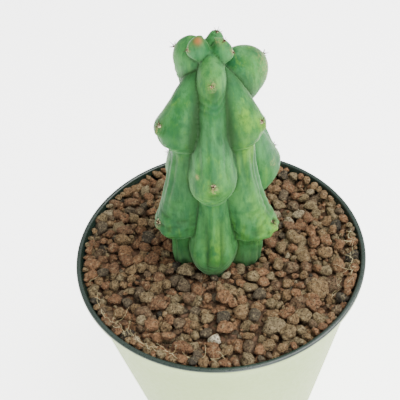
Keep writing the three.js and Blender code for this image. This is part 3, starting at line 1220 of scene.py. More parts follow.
    def carve(self, form: StemForm, skin: Piece) -> None:
        """Move the skin into its fine forms and paint the numbers that its finish reads.

        Args:
            form: The stem's form.
            skin: The joined skin of the stem.
        """
        points = vertex_rows(skin, "co") / MM
        normals = vertex_rows(skin, "normal")
        found = [form.fullness(rib, points) for rib in form.ribs]
        fullness = np.array([item[0] for item in found])
        owner = fullness.argmin(axis=0)
        order = np.sort(fullness, axis=0)
        apart = order[1] - order[0]
        level = points[:, 2] - form.base
        size, shift, flatter = self.wrinkle_noise
        wrinkles = noise_field(points * np.array([1.0, 1.0, flatter]), size, shift)
        marks = self.start(points, level, apart)
        for number, (rib, look) in enumerate(zip(form.ribs, self.looks)):
            heights, _, across = form.local(rib, points)
            own = (owner == number) * smoothstep(0.0, self.seam_fade, apart)
            turn = found[number][1]
            front = own * (np.abs(turn) < self.outer_side)
            view = RibSkin(heights, across, turn, own, front, wrinkles)
            for part in rib.tubercles:
                self.carve_nose(marks, view, look, part)
                if part.half >= self.small_nose:
                    self.carve_ridges(marks, view, part)
            if look.withered:
                self.wrinkle(marks, view, rib.tubercles[-1])
            self.mark_rib(marks, view, look)
            for pleat in self.pleats:
                if pleat.rib == number:
                    self.carve_pleat(marks, view, pleat)
            for patch in self.lime_patches:
                if patch.rib == number:
                    marks.lime += own * patch.at(across, heights)
        self.mark_spots(marks, points)
        set_points(skin, points + normals * marks.push[:, None])
        # all the painted shade of the creases, hollows and shaded ribs is stored for the finish
        paint(skin, "painted_shade", np.clip(marks.painted_shade, 0.0, 1.0) * self.painted_shade_share)
        for name in ("lime", "bloom_and_painted_light", "cork", "rust"):
            paint(skin, name, np.clip(getattr(marks, name), 0.0, 1.0))
        # painted light: a greyish lift towards the soil, where the foot lies in shade
        strength, step = self.foot_grey_painted_light
        paint(skin, "dust", strength * smoothstep(*step, level))

    def start(self, points: Array, level: Array, apart: Array) -> SkinMarks:
        """Begin the marks with what doesn't depend on a single rib.

        Args:
            points: Places of the skin in millimetres.
            level: Their heights above the stem's base.
            apart: How much less full each point lies in the next rib than in its own.

        Returns:
            The marks.
        """
        push = noise_sum(points, self.waves)
        push -= self.seam[0] * smoothstep(*self.seam[1], apart)
        # painted shade along the seams and in the valleys between the ribs, wider round the crown
        usual, crown = self.valley_shade
        valley = usual + crown * self.crown_valleys.at(level)
        strength, step = self.seam_shade
        painted_shade = strength * smoothstep(*step, apart) + valley * smoothstep(*self.valley, apart)
        strength, middle, width = self.seam_bloom
        bloom_and_painted_light = strength * bell(apart - middle, width)
        # painted light: paler towards the soil, where the foot lies in shade
        strength, step = self.foot_painted_light
        bloom_and_painted_light += strength * smoothstep(*step, level)
        return SkinMarks(push, painted_shade, bloom_and_painted_light, *(np.zeros(len(points)) for _ in range(3)))

    def carve_nose(self, marks: SkinMarks, view: RibSkin, look: RibLook, part: Tubercle) -> None:
        """Carve a nose with its areole's seat and hollow and the folds below it.

        Args:
            marks: The marks, which are added to.
            view: The skin as the rib sees it.
            look: The rib's look.
            part: The nose.
        """
        small = part.half < self.small_nose
        drop = view.heights - part.z
        ring = np.hypot(view.across, drop)
        if part.z > self.lowest_areole:
            seat = view.front * (self.small_share if small else 1.0)
            reach = np.hypot(self.hollow_wide * view.across, drop + self.hollow_drop)
            hollow = bell(reach, self.hollow_width)
            high, width = self.seat
            marks.push += seat * (high * bell(ring, width) - self.hollow_depth * hollow)
            # painted shade in the hollow under the areole
            marks.painted_shade += seat * self.hollow_shade * hollow
            strength, middle, width = self.halo
            marks.bloom_and_painted_light += seat * strength * bell(ring - middle, width)
            strength, width = self.nose_cork
            spot = np.hypot(view.across, self.cork_tall * (drop - self.cork_rise))
            marks.cork += view.front * (self.small_cork if small else strength) * bell(spot, width)
        if not small:
            down = smoothstep(*self.fold_side, np.abs(np.arctan2(view.across, -drop)))
            for radius, depth in self.folds:
                wavy = ring - radius - self.fold_wave * np.sin(view.across)
                fold = depth * view.front * down * bell(wavy, self.fold_width)
                marks.push -= fold
                # painted shade in the fold, as strong as the rib's look says
                marks.painted_shade += look.folds * fold
            marks.lime += view.front * look.tint * bell(ring, self.tint_width)
        strength, band = self.upper_bloom
        marks.bloom_and_painted_light += view.front * strength * band.at(drop)
        strength, turn, width = self.flank_bloom
        middle, tall = self.flank_bloom_drop
        sides = bell(np.abs(view.turn) - turn, width)
        marks.bloom_and_painted_light += view.own * strength * sides * bell(drop - middle, tall)

    def carve_ridges(self, marks: SkinMarks, view: RibSkin, part: Tubercle) -> None:
        """Carve the fine upright ridges below a nose.

        Args:
            marks: The marks, which are added to.
            view: The skin as the rib sees it.
            part: The nose.
        """
        drop = view.heights - part.z
        start, full = self.ridge_start
        below = view.own * smoothstep(start - part.under, full - part.under, drop)
        below *= smoothstep(*self.ridge_end, drop)
        swing, pace = self.ridge_wave
        ridges = np.cos(view.across * self.ridge_pitch + swing * np.sin(view.heights * pace))
        marks.push += below * self.ridge_height * ridges
        strength, step = self.ridge_bloom
        marks.bloom_and_painted_light += below * strength * smoothstep(*step, ridges)
        # painted shade in the grooves between the ridges
        strength, step = self.ridge_shade
        marks.painted_shade += below * strength * smoothstep(*step, ridges)

    def wrinkle(self, marks: SkinMarks, view: RibSkin, part: Tubercle) -> None:
        """Wrinkle the skin round a withered nose.

        Args:
            marks: The marks, which are added to.
            view: The skin as the rib sees it.
            part: The nose.
        """
        ring = np.hypot(view.across, view.heights - part.z)
        creased = view.own * bell(ring, self.wrinkle_width)
        marks.push += self.wrinkle_depth * creased * view.wrinkles
        # painted shade in the creases of the wrinkles
        strength, step = self.wrinkle_shade
        marks.painted_shade += strength * creased * smoothstep(*step, view.wrinkles)
        strength, step = self.wrinkle_bloom
        marks.bloom_and_painted_light += strength * creased * smoothstep(*step, view.wrinkles)

    def mark_rib(self, marks: SkinMarks, view: RibSkin, look: RibLook) -> None:
        """Paint shade over a whole rib and one of its flanks, and paint light on its crown.

        Args:
            marks: The marks, which are added to.
            view: The skin as the rib sees it.
            look: The rib's look.
        """
        # painted shade that darkens the rib along most of its length
        marks.painted_shade += view.own * look.shade * self.rib_shade.at(view.heights)
        # painted shade on the flank that faces the front rib
        inner = smoothstep(*self.flank_turn, np.sign(look.flank_shade) * view.turn)
        middle, tall = self.flank_heights
        marks.painted_shade += view.own * abs(look.flank_shade) * inner * bell(view.heights - middle, tall)
        # painted light that lightens the crown, which lies in shade
        marks.bloom_and_painted_light += view.own * look.painted_crown_light * smoothstep(*self.painted_crown_heights, view.heights)

    def carve_pleat(self, marks: SkinMarks, view: RibSkin, pleat: Pleat) -> None:
        """Carve a long furrow down a rib.

        Args:
            marks: The marks, which are added to.
            view: The skin as the rib sees it.
            pleat: The furrow.
        """
        out = smoothstep(*pleat.spread, view.heights) if pleat.spread else 1.0
        line = bell(view.across - pleat.across * out, pleat.width) * pleat.extent.at(view.heights)
        marks.push -= view.own * pleat.depth * line
        # painted shade in the pleat
        marks.painted_shade += view.own * pleat.shade * line
        edge = bell(view.across - self.edge_place * pleat.across, self.edge_width)
        marks.bloom_and_painted_light += view.own * pleat.edge * edge * smoothstep(*self.edge_fade, view.heights)

    def mark_spots(self, marks: SkinMarks, points: Array) -> None:
        """Add the corky spots and the orange one.

        Args:
            marks: The marks, which are added to.
            points: Places of the skin in millimetres.
        """
        strength, width = self.rust
        away = np.linalg.norm(points - np.array(self.rust_spot), axis=1)
        marks.rust += strength * bell(away, width)
        for *seat, width in self.cork_spots:
            marks.cork += bell(np.linalg.norm(points - np.array(seat), axis=1), width)


@dataclass(frozen=True)
class Tuft:
    """Size of an areole: its number of spines, their length and the width of its wool."""

    spines: int
    length: float
    wool: float


@dataclass(frozen=True)
class Areole:
    """Where an areole sits: its seat on the skin in millimetres, the way it faces and its tuft."""

    seat: Vector
    outward: Vector
    tuft: Tuft
    seed: int


@dataclass
class Areoles:
    """The woolly areoles on the noses and the crown, with their small spines.

    Spans are the (least, most) of a random draw. Those of the wool and the spines' lengths are
    shares of the tuft's sizes, and the lean of a spine is in radians.
    """

    form: StemForm
    lowest: float
    slight_nose: float = 4.5
    slight: Tuft = Tuft(5, 1.3, 0.4)
    full: Tuft = Tuft(8, 2.1, 0.75)
    crown: Tuft = Tuft(6, 1.6, 0.35)
    crown_places: tuple[Pair, ...] = ((3.9, 6.9), (5.6, 2.2))
    above: float = 200.0
    outside: float = 8.0
    rise: float = 0.12
    first_seed: int = 12
    balls: int = 9
    ball_spread: float = 0.45
    ball_sink: Pair = (-0.15, 0.12)
    ball_size: Pair = (0.3, 0.55)
    ball_shape: Pair = (0.8, 0.7)
    spine_jitter: Pair = (0.0, 0.6)
    spine_lean: Pair = (0.5, 1.25)
    spine_length: Pair = (0.7, 1.15)
    spine_radii: Pair = (0.15, 0.03)
    spine_sides: int = 7
    spine_sink: float = 0.1

    def find(self, skin: Piece) -> list[Areole]:
        """Place an areole on each nose above the grit and on the crown.

        Args:
            skin: The carved skin.

        Returns:
            The areoles.
        """
        mesh = skin.data
        tree = BVHTree.FromPolygons(
            [vertex.co[:] for vertex in mesh.vertices], [face.vertices[:] for face in mesh.polygons]
        )
        aims = []
        for rib in self.form.ribs:
            angle = math.radians(rib.azimuth)
            outward = Vector((math.cos(angle), math.sin(angle), self.rise)).normalized()
            for part in rib.tubercles:
                start = Vector(self.form.axis(part.z)) + outward * (part.reach + self.outside)
                tuft = self.slight if part.half < self.slight_nose else self.full
                aims.append((start, -outward, tuft, part.z >= self.lowest))
        for x, y in self.crown_places:
            aims.append((Vector((x, y, self.above)), Vector((0.0, 0.0, -1.0)), self.crown, True))
        found = []
        for seed, (start, way, tuft, shows) in enumerate(aims, self.first_seed):
            hit, normal, _, _ = tree.ray_cast(start * MM, way)
            if shows and hit is not None:
                found.append(Areole(hit / MM, normal, tuft, seed))
        return found

    def build(self, skin: Piece) -> tuple[Piece, Piece]:
        """Build the wool and the spines of all the areoles.

        Args:
            skin: The carved skin.

        Returns:
            The wool and the spines.
        """
        wool, spines = bmesh.new(), bmesh.new()
        for areole in self.find(skin):
            rng = np.random.default_rng(areole.seed)
            turn = areole.outward.to_track_quat("Z", "Y").to_matrix().to_4x4()
            place = Matrix.Translation(areole.seat) @ turn
            self.add_wool(wool, place, areole.tuft, rng)
            self.add_spines(spines, place, areole.tuft, rng)
        for body in (wool, spines):
            bmesh.ops.scale(body, vec=(MM, MM, MM), verts=body.verts)
        return body_object("areole_wool", wool, True), body_object("areole_spines", spines, True)

    def add_wool(
        self, body: bmesh.types.BMesh, place: Matrix, tuft: Tuft, rng: np.random.Generator
    ) -> None:
        """Add the small balls that make an areole's wool.

        Args:
            body: The wool's body, which is added to.
            place: The areole's place and turn.
            tuft: Its size.
            rng: Source of the random draws.
        """
        for _ in range(self.balls):
            aside = rng.normal(0, tuft.wool * self.ball_spread, 2)
            offset = Vector((*aside, rng.uniform(*self.ball_sink)))
            size = tuft.wool * rng.uniform(*self.ball_size)
            deep, high = self.ball_shape
            stretch = Matrix.Diagonal((size, size * deep, size * high, 1.0))
            ball = place @ Matrix.Translation(offset) @ stretch
            bmesh.ops.create_icosphere(body, subdivisions=2, radius=1.0, matrix=ball)

    def add_spines(
        self, body: bmesh.types.BMesh, place: Matrix, tuft: Tuft, rng: np.random.Generator
    ) -> None:
        """Add the spines that stand round an areole.

        Args:
            body: The spines' body, which is added to.
            place: The areole's place and turn.
            tuft: Its size.
            rng: Source of the random draws.
        """
        thick, thin = self.spine_radii
        for k in range(tuft.spines):
            around = 2 * math.pi * (k + rng.uniform(*self.spine_jitter)) / tuft.spines
            lean = rng.uniform(*self.spine_lean)
            aside = math.sin(lean)
            way = Vector((math.cos(around) * aside, math.sin(around) * aside, math.cos(lean)))
            length = tuft.length * rng.uniform(*self.spine_length)
            middle = length / 2 - self.spine_sink
            turned = place @ way.to_track_quat("Z", "Y").to_matrix().to_4x4()
            bmesh.ops.create_cone(
                body, cap_ends=True, segments=self.spine_sides, radius1=thick, radius2=thin,
                depth=length, matrix=turned @ Matrix.Translation((0, 0, middle)),
            )


@dataclass
class Cactus:
    """The stem with its skin, areoles and spines."""

    form: StemForm = field(default_factory=StemForm)
    carving: SkinCarving = field(default_factory=SkinCarving)
    skin: SkinFinish = SkinFinish()
    wool: HairFinish = HairFinish("wool", (0.22, 0.17, 0.08), (0.60, 0.54, 0.32))
    spine: HairFinish = HairFinish(
        "spine", (0.030, 0.017, 0.010), (0.095, 0.055, 0.03), Pattern(0.8, 4.0, 0.65)
    )
    rings: int = 150
    sides: int = 44
    voxel: float = 0.5
    smoothing: int = 2
    smoothing_factor: float = 0.5

    def rib_mesh(self, rib: Rib) -> tuple[Array, Faces]:
        """Build one closed rib.

        Args:
            rib: The rib.

        Returns:
            Its points and faces.
        """
        curve = CrestCurve(self.form.stations(rib)).sampled(self.rings)[::-1]
        heights, reach, half = curve.T
        depth = self.form.depth(half, reach)
        turn = even_turns(self.sides)
        out = (reach - depth)[:, None] + depth[:, None] * np.cos(turn)
        across = half[:, None] * np.sin(turn)
        angle = math.radians(rib.azimuth)
        points = np.repeat(self.form.axis(heights)[:, None, :], self.sides, axis=1)
        points[:, :, 0] += out * math.cos(angle) - across * math.sin(angle)
        points[:, :, 1] += out * math.sin(angle) + across * math.cos(angle)
        return points.reshape(-1, 3), tube_faces(len(heights), self.sides)

    def core_mesh(self) -> tuple[Array, Faces]:
        """Build the round core.

        Returns:
            Its points and faces.
        """
        heights, radii = np.array(self.form.core).T
        turn = even_turns(self.sides)
        points = np.repeat(self.form.axis(heights)[:, None, :], self.sides, axis=1)
        points[:, :, 0] += radii[:, None] * np.cos(turn)
        points[:, :, 1] += radii[:, None] * np.sin(turn)
        return points.reshape(-1, 3), tube_faces(len(heights), self.sides)

    def build_skin(self) -> Piece:
        """Join the ribs and the core into one smooth body and carve its skin.

        Returns:
            The skin.
        """
        bodies = [self.core_mesh(), *map(self.rib_mesh, self.form.ribs)]
        skin = mesh_object("stem_skin", *joined(bodies))
        remesh = skin.modifiers.new("joined", "REMESH")
        remesh.mode = "VOXEL"
        remesh.voxel_size = self.voxel * MM
        remesh.use_smooth_shade = True
        soften = skin.modifiers.new("soften", "SMOOTH")
        soften.iterations = self.smoothing
        soften.factor = self.smoothing_factor
        apply_modifiers(skin)
        self.carving.carve(self.form, skin)
        return skin

    def dress(self) -> list[Piece]:
        """Build all pieces, give them their finishes and let them stand for the CAD stem.

        Returns:
            The pieces of the stem.
        """
        skin = self.build_skin()
        wool, spines = Areoles(self.form, self.carving.lowest_areole).build(skin)
        finishes = (
            (skin, self.skin),
            (wool, self.wool),
            (spines, self.spine),
        )
        for piece, finish in finishes:
            piece.data.materials.clear()
            piece.data.materials.append(finish.make())
            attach(piece, "root")
            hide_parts("cactus")
        return [skin, wool, spines]


# The grit


class Grade(Enum):
    """Sizes of stone, as (smallest, largest) mean radius in millimetres."""

    COBBLE = (2.5, 3.2)
    STONE = (1.7, 2.45)
    PEBBLE = (1.0, 1.6)
    CRUMB = (0.45, 0.9)


@dataclass(frozen=True)
class StoneShape:
    """How a stone departs from a ball: its flat facets, its stretch and its rough crust.

    Facets lie at a share of the radius and are rounded off by a softness; a direction that a facet
    faces by less than `facing` isn't cut by it. Crust rows are the strength, size and shift of a
    noise.
    """

    facets: int = 11
    facet_span: Pair = (0.66, 1.1)
    facing: float = 0.12
    far: float = 9.0
    round_off: float = 13.0
    widest: float = 1.15
    stretch: tuple[Triple, Triple] = ((1.0, 0.85, 0.68), (1.3, 1.1, 0.92))
    tilt: float = 0.45
    crust: tuple[Triple, ...] = ((0.52, 1.7, 4.0), (0.30, 0.7, 8.0))
    crust_radius: float = 2.0

    def bodies(self, radii: Array, directions: Array, rng: np.random.Generator) -> Array:
        """Shape the stones round their own centres.

        Args:
            radii: Mean radius of each stone.
            directions: Directions of the icosphere's vertices.
            rng: Source of the random draws.

        Returns:
            The vertices of each stone.
        """
        count = len(radii)
        normals = rng.normal(size=(count, self.facets, 3))
        normals /= np.linalg.norm(normals, axis=2)[:, :, None]
        offsets = rng.uniform(*self.facet_span, (count, self.facets))
        facing = np.einsum("vk,sfk->svf", directions, normals)
        cut = offsets[:, None, :] / np.maximum(facing, self.facing)
        reach = np.where(facing > self.facing, cut, self.far)
        facets = np.exp(-self.round_off * reach).sum(axis=2)
        soft = -np.log(facets + np.exp(-self.round_off * self.widest)) / self.round_off
        axes = rng.uniform(*self.stretch, (count, 3))
        body = directions[None] * soft[:, :, None] * axes[:, None, :] * radii[:, None, None]
        return np.einsum("sij,svj->svi", self.lying(count, rng), body)

    def lying(self, count: int, rng: np.random.Generator) -> Array:
        """Draw turns that mostly leave a stone's flat side up.

        Args:
            count: Number of stones.
            rng: Source of the random draws.

        Returns:
            A matrix for each stone.
        """
        spin = rng.uniform(0, 2 * math.pi, count)
        tilt = rng.normal(0, self.tilt, count)
        lean = rng.uniform(0, 2 * math.pi, count)
        turns = [
            Matrix.Rotation(b, 3, "Z") @ Matrix.Rotation(t, 3, "X") @ Matrix.Rotation(a, 3, "Z")
            for a, t, b in zip(spin, tilt, lean)
        ]
        return np.array([[row[:] for row in turn] for turn in turns])


@dataclass
class StoneHeap:
    """Stones of several grades, dropped in turn onto a bed inside the pot and round the stem.

    courses are dropped again and again, rim_courses once along the wall, and last_course once over
    all. Shares of a stone's radius say how near it comes to the wall, the bed, the stem and the
    ceiling. places hold each stone's centre and radius. marked stones have a tone of their own at
    (x, y).
    """

    form: StemForm
    wall: Callable[[float], float]
    shape: StoneShape = StoneShape()
    seed: int = 5
    bed: float = 78.4
    ceiling: float = 85.2
    rim_height: float = 83.0
    wall_play: float = 0.25
    settle: float = 0.84
    tries: int = 14
    rim_tries: int = 3
    wall_share: float = 0.9
    rim_shares: Pair = (0.9, 1.1)
    bed_share: float = 0.7
    stem_share: float = 0.72
    top_share: float = 0.8
    nowhere: float = 1e9
    rounds: int = 10
    courses: tuple[tuple[Grade, int], ...] = (
        (Grade.COBBLE, 7),
        (Grade.STONE, 46),
        (Grade.PEBBLE, 36),
    )
    rim_courses: tuple[tuple[Grade, int], ...] = ((Grade.STONE, 90), (Grade.PEBBLE, 120))
    last_course: tuple[Grade, int] = (Grade.CRUMB, 500)
    tone_spread: Pair = (2.0, 1.9)
    dark_share: float = 0.035
    dark_tones: Pair = (0.0, 0.06)
    pale_from: float = 0.988
    pale_tones: Pair = (0.94, 0.98)
    marked: tuple[Triple, ...] = (
        (-1.5, -40.0, 1.0),
        (-30.8, -32.7, 0.02),
        (14.0, -31.3, 0.04),
        (-29.0, -29.5, 0.93),
    )
    marked_lift: float = 0.6
    gap_shade: float = 0.75
    gap_heights: Pair = (81.6, 79.4)
    mesh_play: float = 0.2
    places: list[tuple[float, float, float, float]] = field(default_factory=list)
    grades: list[Grade] = field(default_factory=list)

    def drop(self, grade: Grade, count: int, rng: np.random.Generator, rim: bool = False) -> None:
        """Drop stones of a grade, each into the lowest of several random places.

        Args:
            grade: The stones' grade.
            count: How many are dropped; those with no room are left out.
            rng: Source of the random draws.
            rim: Whether they are dropped only along the wall.
        """
        limit = self.wall(self.rim_height) + self.wall_play
        for _ in range(count):
            radius = rng.uniform(*grade.value)
            room = limit - self.wall_share * radius
            distance = room * np.sqrt(rng.uniform(0, 1, self.tries))
            hugging = self.tries if rim else self.rim_tries
            distance[:hugging] = limit - radius * rng.uniform(*self.rim_shares, hugging)
            angle = rng.uniform(0, 2 * math.pi, self.tries)
            spots = np.stack([distance * np.cos(angle), distance * np.sin(angle)], axis=1)
            heights = np.full(self.tries, self.bed + self.bed_share * radius)
            if self.places:
                others = np.array(self.places)
                gap = np.linalg.norm(spots[:, None] - others[None, :, :2], axis=2)
                touch = (radius + others[:, 3]) * self.settle
                lift = np.sqrt(np.maximum(touch**2 - gap**2, 0.0))
                rest = np.where(gap < touch, others[:, 2] + lift, -self.nowhere)
                heights = np.maximum(heights, rest.max(axis=1))
            centres = np.column_stack([spots, heights])
            heights[self.form.clearance(centres, self.stem_share * radius) < 1.0] = self.nowhere
            heights[heights + self.top_share * radius > self.ceiling] = self.nowhere
            best = int(heights.argmin())
            if heights[best] < self.nowhere:
                self.places.append((*spots[best], heights[best], radius))
                self.grades.append(grade)

    def fill(self) -> None:
        """Drop all the stones."""
        rng = np.random.default_rng(self.seed)
        for _ in range(self.rounds):
            for course in self.courses:
                self.drop(*course, rng)
        for course in self.rim_courses:
            self.drop(*course, rng, rim=True)
        self.drop(*self.last_course, rng)

    def mesh(self, name: str, grade: Grade, level: int, seed: int) -> Piece:
        """Make one piece of all the stones of a grade.

        Args:
            name: Name of the piece.
            grade: The grade.
            level: Icosphere level of each stone.
            seed: Seed of the stones' shapes and tones.

        Returns:
            The piece, with the tone and shade numbers on it.
        """
        rng = np.random.default_rng(seed)
        directions, triangles = sphere_pattern(level)
        stones = np.array([place for place, own in zip(self.places, self.grades) if own is grade])
        bodies = self.shape.bodies(stones[:, 3], directions, rng)
        points = (bodies + stones[:, None, :3]).reshape(-1, 3)
        away = (bodies / np.linalg.norm(bodies, axis=2)[:, :, None]).reshape(-1, 3)
        rough = noise_sum(points, self.shape.crust)
        share = np.repeat(stones[:, 3] / self.shape.crust_radius, len(directions))
        points += away * (rough * share)[:, None]
        starts = np.arange(len(stones)) * len(directions)
        faces = (triangles[None] + starts[:, None, None]).reshape(-1, 3)
        room = np.array([self.wall(height) for height in points[:, 2]]) + self.mesh_play
        points[:, :2] *= np.minimum(1.0, room / np.hypot(points[:, 0], points[:, 1]))[:, None]
        piece = mesh_object(name, points, faces)
        tones = self.tones(stones, rng)
        if grade is Grade.STONE:
            for x, y, tone in self.marked:
                away = np.hypot(stones[:, 0] - x, stones[:, 1] - y)
                tones[(away - self.marked_lift * stones[:, 2]).argmin()] = tone
        paint(piece, "tone", np.repeat(tones, len(directions)))
        # painted shade: stones darken lower down, towards the shaded gaps between them
        paint(piece, "shade", self.gap_shade * smoothstep(*self.gap_heights, points[:, 2]))
        return piece

    def tones(self, stones: Array, rng: np.random.Generator) -> Array:
        """Draw a tone for each stone, with a few dark and a few pale ones among them.

        Args:
            stones: Centre and radius of each stone.
            rng: Source of the random draws.

        Returns:
            Numbers from 0, dark, to 1, pale.
        """
        count = len(stones)
        tones = rng.beta(*self.tone_spread, count)
        special = rng.uniform(0, 1, count)
        tones = np.where(special < self.dark_share, rng.uniform(*self.dark_tones, count), tones)
        return np.where(special > self.pale_from, rng.uniform(*self.pale_tones, count), tones)


@dataclass
class LavaGrit:
    """The top dressing: loose stones over a dark bed of fine grit, round the stem.

    stones give the name, grade, icosphere level and seed of each piece of stones.
    """

    form: StemForm
    wall: Callable[[float], float]
    stone: LavaFinish = LavaFinish()
    fine: SoilFinish = SoilFinish((0.05, 0.031, 0.018), (0.15, 0.085, 0.05))
    stones: tuple[tuple[str, Grade, int, int], ...] = (
        ("grit_cobbles", Grade.COBBLE, 4, 30),
        ("grit_stones", Grade.STONE, 3, 31),
        ("grit_pebbles", Grade.PEBBLE, 3, 32),
        ("grit_crumbs", Grade.CRUMB, 2, 33),
    )
    bottom: float = 68.3
    bed_top: float = 80.0
    bed_sides: int = 180
    bed_rings: int = 34
    bed_waves: tuple[Triple, ...] = ((0.55, 2.2, 5.0),)
    stem_gap: float = 0.3
    stem_play: float = 0.1
    wall_play: float = 0.05
    search: tuple[float, float, int] = (4.0, 40.0, 181)
    least_reach: float = 9.5

    def stem_reach(self, angle: float) -> float:
        """Find how far from the stem's axis its outside lies at the bed.

        Args:
            angle: The direction, in radians.

        Returns:
            The distance.
        """
        reach = np.linspace(*self.search)
        centre = self.form.axis(self.bed_top - self.form.base)
        spots = centre + np.outer(reach, [math.cos(angle), math.sin(angle), 0.0])
        inside = self.form.clearance(spots, self.stem_gap) < 1.0
        return float(reach[inside].max()) if inside.any() else self.least_reach

    def build_bed(self) -> Piece:
        """Build the closed bed of fine grit, a ring between the stem and the pot.

        Returns:
            The bed.
        """
        centre = self.form.axis(self.bed_top - self.form.base)[:2]
        outer_reach = self.wall(self.bed_top) - self.wall_play
        rows = []
        for angle in even_turns(self.bed_sides):
            way = np.array([math.cos(angle), math.sin(angle)])
            inner = centre + (self.stem_reach(angle) + self.stem_play) * way
            offset = float(centre @ way)
            reach = -offset + math.sqrt(offset**2 - float(centre @ centre) + outer_reach**2)
            outer = centre + reach * way
            rows.append([inner + (outer - inner) * s for s in np.linspace(0, 1, self.bed_rings)])
        top = np.swapaxes(np.array(rows), 0, 1).reshape(-1, 2)
        waves = noise_sum(np.column_stack([top, np.zeros(len(top))]), self.bed_waves)
        upper = np.column_stack([top, self.bed_top + waves])
        lower = upper[np.r_[-self.bed_sides : 0, 0 : self.bed_sides]].copy()
        lower[:, 2] = self.bottom
        lower[: self.bed_sides, :2] *= self.wall(self.bottom) / self.wall(self.bed_top)
        faces = ring_faces(self.bed_rings + 2, self.bed_sides, closed=True)
        return mesh_object("grit_bed", np.concatenate([upper, lower]), faces)

    def dress(self) -> list[Piece]:
        """Build the grit's pieces, give them their finish and let them stand for the CAD grit.

        Returns:
            The pieces of the grit.
        """
        heap = StoneHeap(self.form, self.wall)
        heap.fill()
        log.info("grit: %d stones", len(heap.places))
        pieces = [heap.mesh(*row) for row in self.stones]
        stone = self.stone.make()
        for piece in pieces:
            piece.data.materials.append(stone)
        pieces.append(self.build_bed())
        pieces[-1].data.materials.append(self.fine.make("fine_grit"))
        for piece in pieces:
            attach(piece, "root")
            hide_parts("lava_grit")
        return pieces


@dataclass
class DryFibres:
    """Pale dry fibres that lie on the grit along the pot's wall.

    A bunch has an azimuth in degrees, a reach, a height, a number of strands and their length.
    Heading and rise are a strand's turn and slope; their drifts are the spreads of each step's
    change.
    """

    finish: HairFinish = HairFinish(
        "dry_fibre", (0.32, 0.25, 0.12), (0.60, 0.52, 0.30), Pattern(1.5, 4.0, 0.65)
    )
    seed: int = 3
    radius: float = 0.075
    thin_end: float = 0.35
    sides: int = 6
    steps: int = 14
    room: float = 49.2
    azimuth_spread: float = 8.0
    heading_spread: float = 0.8
    heading_drift: float = 0.22
    start_rise: Pair = (-0.1, 0.25)
    rise_kept: float = 0.8
    rise_drift: Pair = (-0.01, 0.07)
    levels: Pair = (-0.5, 0.4)
    lengths: Pair = (0.5, 1.2)
    radii: Pair = (0.6, 1.2)
    bunches: tuple[tuple[float, float, float, int, float], ...] = (
        (-20.0, 48.0, 85.2, 9, 7.0),
        (-10.0, 47.0, 85.0, 6, 6.0),
        (3.0, 45.0, 84.7, 3, 4.5),
        (-26.0, 45.5, 84.8, 4, 5.0),
        (-128.0, 48.0, 85.0, 14, 6.5),
        (-112.0, 48.0, 85.0, 12, 5.0),
        (-145.0, 48.5, 85.0, 9, 6.0),
        (-97.0, 48.0, 84.9, 5, 4.0),
        (70.0, 44.0, 84.9, 2, 5.0),
    )

    def strand(
        self, start: Array, heading: float, length: float, rng: np.random.Generator
    ) -> Array:
        """Draw one curled strand.

        Args:
            start: Its start.
            heading: The direction that it sets out in, in radians.
            length: Its length.
            rng: Source of the random draws.

        Returns:
            Its points.
        """
        points = [start]
        rise = rng.uniform(*self.start_rise)
        for _ in range(self.steps):
            heading += rng.normal(0, self.heading_drift)
            rise = self.rise_kept * rise + rng.normal(*self.rise_drift)
            step = np.array([math.cos(heading), math.sin(heading), rise]) * length / self.steps
            points.append(points[-1] + step)
        return np.array(points)

    def tube(self, line: Array, radius: float) -> Array:
        """Build the rings of a thin tube that tapers to its end.

        Args:
            line: The points that it follows.
            radius: Its radius at the start.

        Returns:
            The points of its rings.
        """
        along = np.gradient(line, axis=0)
        along /= np.linalg.norm(along, axis=1)[:, None]
        side = np.cross(along, [0.0, 0.0, 1.0])
        side /= np.linalg.norm(side, axis=1)[:, None]
        up = np.cross(side, along)
        turn = even_turns(self.sides)[None, :, None]
        width = radius * np.linspace(1.0, self.thin_end, len(line))[:, None, None]
        ring = side[:, None] * np.cos(turn) + up[:, None] * np.sin(turn)
        return (line[:, None] + ring * width).reshape(-1, 3)

    def dress(self) -> Piece:
        """Build the fibres as one piece with its finish.

        Returns:
            The fibres.
        """
        rng = np.random.default_rng(self.seed)
        tubes = []
        for azimuth, reach, height, strands, length in self.bunches:
            for _ in range(strands):
                angle = math.radians(azimuth + rng.normal(0, self.azimuth_spread))
                level = height + rng.uniform(*self.levels)
                start = np.array([reach * math.cos(angle), reach * math.sin(angle), level])
                heading = angle + math.pi / 2 * rng.choice([-1, 1])
                heading += rng.normal(0, self.heading_spread)
                line = self.strand(start, heading, length * rng.uniform(*self.lengths), rng)
                inside = np.minimum(1.0, self.room / np.hypot(line[:, 0], line[:, 1]))
                line[:, :2] *= inside[:, None]
                tube = self.tube(line, self.radius * rng.uniform(*self.radii))
                tubes.append((tube, tube_faces(len(line), self.sides)))
        piece = mesh_object("dry_fibres", *joined(tubes))
        piece.data.materials.append(self.finish.make())
        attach(piece, "root")
        return piece


# The pot


